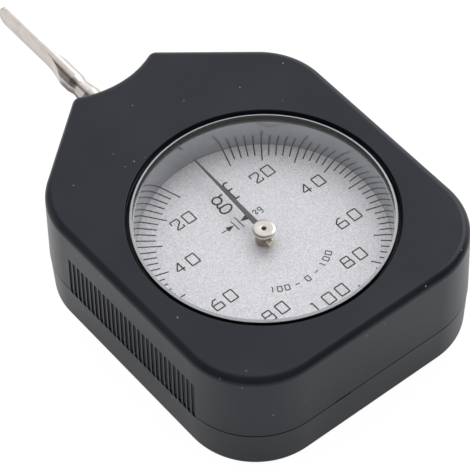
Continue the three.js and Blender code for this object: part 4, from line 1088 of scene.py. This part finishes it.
def letter_f(x, y):
    """An upright f with a foot, whose bar lies at a height."""
    stem = [(0, -2.3), (0, 1.1), (0.12, 1.62), (0.52, 1.9), (0.98, 1.82), (1.1, 1.6)]
    bar, foot = [(-0.7, 0), (1.02, 0)], [(-0.7, -2.3), (0.88, -2.3)]
    return [([(x + u, y + v) for u, v in stroke], False) for stroke in (stem, bar, foot)]


unit_mark = inked("unit_mark", letter_g(-0.72, 12.75, 1.06) + letter_f(2.3, 13.28), 0.34, 0.2)
shafts_and_bars = [[(-4.75, 6.25), (-3.4, 6.25)], [(0.95, 6.3), (2.05, 6.3)],
                   [(-1.8, 7.4), (-1.8, 4.9)], [(-0.69, 7.75), (-0.69, 4.8)]]
division = [(stroke, False) for stroke in shafts_and_bars]
division += written("2g", 3.52, 6.23, 0.62, 1.05, 1.12)
division_mark = inked("division_mark", division, 0.19, 0.16)
HEAD_HALF = 0.6
arrow_heads = [sheet_metal("arrow_head", [[(base, y - HEAD_HALF), (tip, y), (base, y + HEAD_HALF)]],
                           DIAL_Z, DIAL_Z + INK_THICK, 0.004)
               for base, tip, y in ((-3.5, -1.95, 6.25), (1.1, -0.45, 6.3))]
for head in arrow_heads:
    wear(head, ink)
tell(unit_mark, division_mark)

# %% [markdown]
# ## The pointer
# The needle is thin sheet with an eye, held on its hub by a bevelled cap. Hub and cap are turned,
# so they are turned here too, with a small radius on each edge, because that radius is what
# catches the light. The arbor's end shows as a dark dot in the middle of the cap.

# %% Needle
paint = noisy_finish("needle_paint", "47484c", 0.5, (3200, 2, 0.6), ("3e3f43", "56575b"),
                     gloss=(0.42, 0.6), bump=(0.1, 0.01), metallic=0.1)
HUB_TOP, NEEDLE_TOP, CAP_TOP = 20.1, 20.4, 21.0
SCREW_Z, SET_ANGLE = 18.92, math.radians(-2.3)
POINTER_REACH = RING_FOOT - 1.45


def needle():
    root, tip, eye, hole = 0.525, 0.12, 1.85, 1.25
    shoulder, point = POINTER_REACH - 0.24, POINTER_REACH - 0.03
    root_angle = math.asin(root / eye)
    outline = arc(0, 0, eye, -QUARTER, QUARTER - root_angle, 20)
    outline += [(tip, shoulder), (0.04, point), (-0.04, point), (-tip, shoulder)]
    outline += arc(0, 0, eye, QUARTER + root_angle, 3 * QUARTER, 20)[:-1]
    piece = sheet_metal("needle", [outline, arc(0, 0, hole, 0, TURN, 32)[:-1]], HUB_TOP, NEEDLE_TOP, 0.04)
    piece.data.transform(Matrix.Rotation(SET_ANGLE, 4, "Z"))
    return piece


pointer = wear(smooth(needle(), 40), paint)
tell(pointer)

# %% Hub, cap, screw and arbor
HUB_FOOT, BARREL, COLLAR, HUB_BORE, CAP = 17.65, 1.6, 1.8, 0.62, 2.15
ARBOR, ARBOR_END, SCREW, SCREW_REACH = 0.6, 0.43, 0.72, 2.25
to_screw = Matrix.Translation((0, 0, SCREW_Z * MM)) @ Matrix.Rotation(QUARTER, 4, "X")
hub_profile = rounded([(HUB_BORE, HUB_FOOT), (BARREL, HUB_FOOT), (BARREL, HUB_TOP - 0.3),
                       (COLLAR, HUB_TOP - 0.2), (COLLAR, HUB_TOP), (1.2, HUB_TOP), (1.2, NEEDLE_TOP),
                       (HUB_BORE, NEEDLE_TOP)], 0.1, 3, keep=(5, 7))
screw_hole = rod("screw_hole", 0, 0, SCREW + 0.06, 0, 3, 24)
screw_hole.data.transform(to_screw)
hub = wear(level_shading(carve(turned("needle_hub", hub_profile, 64), [screw_hole]), 35), hub_nickel)
cap_profile = rounded([(ARBOR_END + 0.02, NEEDLE_TOP), (CAP, NEEDLE_TOP), (CAP, CAP_TOP - 0.14),
                       (1.74, CAP_TOP), (ARBOR_END + 0.02, CAP_TOP)], 0.07, 3)
cap = turned_part("needle_cap", cap_profile, 64, satin_nickel)
screw_profile = rounded([(0, 0.62), (SCREW, 0.62), (SCREW, SCREW_REACH), (0, SCREW_REACH)],
                        0.1, 3, closed=False)
screw_slot = block("screw_slot", -0.04, 0.04, -1, 1, SCREW_REACH - 0.06, 3)
set_screw = carve(turned("set_screw", screw_profile, 32), [screw_slot])
set_screw.data.transform(to_screw @ Matrix.Rotation(0.5, 4, "Z"))
set_screw = wear(level_shading(set_screw, 35), screw_brass)
arbor_profile = rounded([(0, 2.6), (ARBOR, 2.6), (ARBOR, NEEDLE_TOP - 0.1), (ARBOR_END, NEEDLE_TOP - 0.05),
                         (ARBOR_END, 20.6), (0, 20.2)], 0.05, 3, closed=False)
arbor = turned_part("needle_arbor", arbor_profile, 32, aged_steel, 35)
tell(hub, cap, set_screw, arbor)

# %% [markdown]
# ## The lever
# The lever is turned from round bar and then milled flat on two sides, which leaves the scalloped
# run-out above the shoulder. Turning and milling are followed here: a fine turned bar is met by
# the plan of the milled blade, and only what both have is kept.

# %% Lever
LEVER_TIP = 48.2


def lever():
    tip_round = 1.85
    # radius and reach from the pivot: rod, collar, neck, shoulder and blade
    profile = [(0, 2.0), (2.0, 2.0), (ROD, 2.1), (ROD, 16.8), (2.13, 17.25), (2.25, 18.75), (2.25, 19.0),
               (2.2, 19.2), (1.86, 21.3), (1.79, 21.6), (1.78, 21.8), (1.78, 22.15), (1.82, 22.4),
               (2.04, 23.4), (2.09, 23.65), (ROD, 23.9), (ROD, 26.15), (2.15, 30.45)]
    profile += [(2.15 - tip_round * (1 - c), LEVER_TIP - tip_round * (1 - s)) for c, s in quarter_turn(10)]
    profile += [(0.2, LEVER_TIP), (0, LEVER_TIP)]
    bar = turned("lever_bar", profile, 96)
    bar.data.transform(Matrix.Translation((0, 0, LEVER_Z * MM)) @ Matrix.Rotation(-QUARTER, 4, "X"))
    flat, wide = 0.4, 3.25

    def run_out(radius, start):
        """Half the plan of the blade: a concave arc that ends in the flat."""
        deepest = math.acos(1 - (wide - flat) / radius)
        hollow_side = arc(flat + radius, start, radius, math.pi + deepest, math.pi, 24)
        return [(wide, 1.0), *hollow_side, (flat, LEVER_TIP + 1)]

    plan = run_out(14.0, 34.8) + [(-x, y) for x, y in reversed(run_out(17.3, 33.2))]
    blade = stacked("blade_plan", [(plan, LEVER_Z - wide), (plan, LEVER_Z + wide)])
    piece = carve(bar, [blade], "INTERSECT")
    piece.data.transform(Matrix.Translation((0, PIVOT * MM, 0)))
    return piece


lever_piece = lever()
lever_piece.name = "lever_bar"
edge = lever_piece.modifiers.new("edge", "BEVEL")
edge.width = 0.06 * MM
edge.segments = 2
edge.limit_method = "ANGLE"
edge.angle_limit = math.radians(38)
lever_piece = wear(level_shading(plain_mesh(lever_piece), 40), lever_nickel)
tell(lever_piece)

# %% [markdown]
# ## The springs
# The leaf spring bends between its pins and the lever's hub. Here it is a straight band of many
# short segments along its length, and it rides on no body. The hairspring is a flat spiral band: a
# spiral curve and a small rectangular profile give it in one short tree.

# %% Leaf spring
def leaf():
    start, end, half, low, high = 8.8, 31.65, 0.2, LEVER_Z - 1.5, LEVER_Z + 1.5
    section = rounded(rectangle(-half, half, low, high), 0.08, 2)
    stations = [start + (end - start) * k / 40 for k in range(41)]
    return tube("measuring_spring", [[(x, y, z) for x, z in section] for y in stations])


leaf_piece = wear(smooth(leaf(), 40), blued_steel)
tell(leaf_piece)

# %% Hairspring
def spiral_tree():
    tree, given, result = node_tree("flat_spiral", Material="Finish",
                                    Float="Turns, Inner Radius, Outer Radius, Band Thickness, Band Height")
    line = step(tree, "GeometryNodeCurveSpiral", {
        "Resolution": 48, "Rotations": given["Turns"], "Start Radius": given["Inner Radius"],
        "End Radius": given["Outer Radius"], "Height": 0.0})
    band = step(tree, "GeometryNodeCurvePrimitiveQuadrilateral", {
        "Width": given["Band Height"], "Height": given["Band Thickness"]})
    swept = step(tree, "GeometryNodeCurveToMesh", {
        "Curve": line.outputs[0], "Profile Curve": band.outputs[0], "Fill Caps": True})
    made_real(tree, swept.outputs[0], given["Finish"], result)
    return tree


spiral = grow(piece_from("hair_spiral", [(0, 0, 0)], []), spiral_tree(), {
    "Turns": 4.0, "Inner Radius": 1.8 * MM, "Outer Radius": 6.0 * MM, "Band Thickness": 0.2 * MM,
    "Band Height": 0.8 * MM, "Finish": blued_steel}, "hair_spiral")
spiral.data.transform(Matrix.Translation((0, 0, 4.9 * MM)))
smooth(spiral, 40)
spiral_box = [tuple(round(pick(v.co[k] for v in spiral.data.vertices) / MM, 2) for k in range(3))
              for pick in (min, max)]
print("hairspring box in mm:", spiral_box)

# %% [markdown]
# ## The movement behind the dial
# The plates, pillars, gears and small screws keep their exact CAD shapes, since gears must mesh.
# They only get a finish that shows how each was made: brushed for sheet, turned for bar.

# %% Finishes of the carried-over pieces
finish_of = {
    "back_plate": plate_brass, "front_plate": plate_brass, "sector_gear": plate_brass,
    "lever_hub": turned_brass, "lever_shaft": bright_steel, "hub_grub_screw": bright_steel,
    "pinion": bright_steel, "hairspring_collet": turned_brass, "hairspring_stud": turned_brass,
}
for name in frame["nodes"]:
    if name.startswith(("pillar_", "dial_foot_", "lever_bush", "arbor_bush")):
        finish_of[name] = turned_brass
    elif name.startswith(("plate_screw_", "base_screw_", "spring_pin_", "stop_pin_")):
        finish_of[name] = bright_steel
for name, finish in finish_of.items():
    for holder in frame["nodes"][name].material_slots:
        holder.material = finish
print("carried-over nodes with a new finish:", len(finish_of))

# %% [markdown]
# ## Everything to its place
# Each new piece stands for its CAD node and rides on the same body, so it moves as the node would,
# but the leaf spring rides on no body. Marks that have no node of their own ride on the case.

# %% Pieces, nodes, bodies and slots
pieces = [
    (front, "case", "black_moulding", ["front_shell"]),
    (back, "case", "black_moulding", ["back_cover"]),
    (case_screws, "case", "black_steel", ["case_screw_%d" % i for i in range(1, 5)]),
    (crystal, "case", "clear_acrylic", ["crystal"]),
    (seal, "case", "black_rubber", ["crystal_gasket"]),
    (ring, "case", "grey_plastic", ["dial_ring"]),
    (dial, "case", "silver_dial", ["dial_plate"]),
    *((mark, "case", "needle_paint", []) for mark in
      (scale_lines, scale_numbers, range_marks, unit_mark, division_mark, *arrow_heads)),
    (spiral, "case", "blue_steel", ["hairspring"]),
    (lever_piece, "lever", "nickel", ["lever_arm"]),
    (pointer, "pointer", "needle_paint", ["pointer"]),
    (hub, "pointer", "nickel", ["pointer_hub"]),
    (cap, "pointer", "nickel", ["pointer_cap"]),
    (set_screw, "pointer", "nickel", ["pointer_screw"]),
    (arbor, "pointer", "steel", ["pointer_arbor"]),
]
case_body = "case" if "case" in frame["bodies"] else "root"
for piece, body, slot, nodes in pieces:
    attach(piece, case_body if body == "case" else body)
    if nodes:
        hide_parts(*nodes)
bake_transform(leaf_piece)
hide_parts("leaf_spring")
print("pieces placed:", len(pieces) + 1)

# %% [markdown]
# ## The studio
# The photograph was taken on a white sweep under large soft lights. Everything glossy shows what
# stands round it, so floor and world look different to a mirror than to the camera. The camera sees
# plain white. A mirror sees a dark room with a bright ceiling behind the gauge, a side light, a
# strip above it and weaker lights low at the back. In a mirror the floor carries painted shadow: it
# is darker close to the gauge, in a band behind it and far away. The floor itself keeps the soft shadow.

# %% Floor
def white_sweep():
    finish, tree, shader = new_finish("white_sweep", (0.86, 0.86, 0.86, 1), 0.8)
    where = place(tree)
    pale = between(tree, noise(tree, where, 300), (0.85, 0.85, 0.85, 1), (0.88, 0.88, 0.88, 1))
    tree.links.new(pale, shader.inputs["Base Color"])
    path = step(tree, "ShaderNodeLightPath").outputs
    # Painted shadow for mirrors only: the glow that glossy rays see is dimmed near the gauge, in a band
    # behind it and far away.
    away = measure(tree, "DISTANCE", where)
    near = spread(tree, away, 33 * MM, 46 * MM, 0.55, 0.14)
    behind = measure(tree, "DOT_PRODUCT", where, (0.41, 0.912, 0))
    band = combine(tree, "MINIMUM", spread(tree, behind, 45 * MM, 49 * MM, 0.0, 0.84),
                   spread(tree, behind, 60.5 * MM, 62.5 * MM, 0.84, 0.24))
    middle = measure(tree, "DISTANCE", where, (-14 * MM, 62 * MM, -0.05 * MM))
    band = combine(tree, "MINIMUM", band, spread(tree, middle, 26 * MM, 34 * MM, 0.84, 0.0))
    far = spread(tree, away, 0.09, 0.26, 0.0, 0.25)
    shade = combine(tree, "ADD", combine(tree, "MAXIMUM", near, band), far)
    dimmed = combine(tree, "MULTIPLY", shade, path["Is Glossy Ray"])
    glow = step(tree, "ShaderNodeEmission", {"Strength": combine(tree, "SUBTRACT", 1.06, dimmed)})
    seen = combine(tree, "MAXIMUM", path["Is Camera Ray"], path["Is Glossy Ray"])
    seen = combine(tree, "MAXIMUM", seen, path["Is Transmission Ray"])
    mixed(tree, combine(tree, "MULTIPLY", seen, 0.9), shader, glow)
    return finish


REACH, FLOOR_Z = 1500, -0.05
sweep = [(x, y, FLOOR_Z) for x, y in rectangle(-REACH, REACH, -REACH, REACH)]
floor = piece_from("floor", sweep, [(0, 1, 2, 3)])
wear(floor, white_sweep())
print("floor laid")

# %% World and lamps
def studio_world():
    world = bpy.data.worlds.new("studio")
    bpy.context.scene.world = world
    world.use_nodes = True
    tree = world.node_tree
    tree.nodes.clear()
    where = step(tree, "ShaderNodeTexCoord").outputs["Generated"]

    def glow(direction, rim, core, dark, bright):
        """A round glow about a direction. rim and core are cosines of the angle from it."""
        cosine = measure(tree, "DOT_PRODUCT", where, Vector(direction).normalized())
        return spread(tree, cosine, rim, core, dark, bright)

    ceiling = (0.46, 0.46, 0.76)
    sky = glow(ceiling, -0.3, 0.95, 0.5, 1.5)
    back_light = glow(ceiling, 0.7, 0.94, 0.06, 1.05)
    side_light = glow((0.93, 0.32, 0.12), 0.75, 0.9, 0.0, 1.3)
    top_strip = glow((0.68, 0.12, 0.72), 0.935, 0.975, 0.0, 2.2)
    left_light = glow((-0.75, 0.6, 0.3), 0.84, 0.95, 0.0, 0.22)
    tip_light = glow((-0.5, 0.82, 0.28), 0.95, 0.985, 0.0, 0.8)
    low_light = glow((0.25, 0.96, 0.15), 0.84, 0.94, 0.0, 0.7)
    mirrored = combine(tree, "MAXIMUM", tip_light, low_light)
    for light in (left_light, back_light, side_light, top_strip):
        mirrored = combine(tree, "ADD", mirrored, light)
    path = step(tree, "ShaderNodeLightPath").outputs
    light_or_mirror = step(tree, "ShaderNodeMix", {0: path["Is Glossy Ray"], 2: sky, 3: mirrored})
    level = step(tree, "ShaderNodeMix", {0: path["Is Camera Ray"], 2: light_or_mirror.outputs[0], 3: 1.0})
    light = step(tree, "ShaderNodeBackground", {"Strength": level.outputs[0]})
    step(tree, "ShaderNodeOutputWorld", {0: light.outputs[0]})


studio_world()

lamp_data = bpy.data.lights.new("back_soft_box", "AREA")
lamp_data.shape, lamp_data.size, lamp_data.energy = "SQUARE", 0.6, 2.0
lamp = placed("back_soft_box", lamp_data)
lamp.location = (0.24, 0.32, 0.56)
lamp.rotation_euler = (Vector((0, 0, 0.02)) - lamp.location).to_track_quat("-Z", "Y").to_euler()
lamp.visible_glossy = False
print("lamps: 1")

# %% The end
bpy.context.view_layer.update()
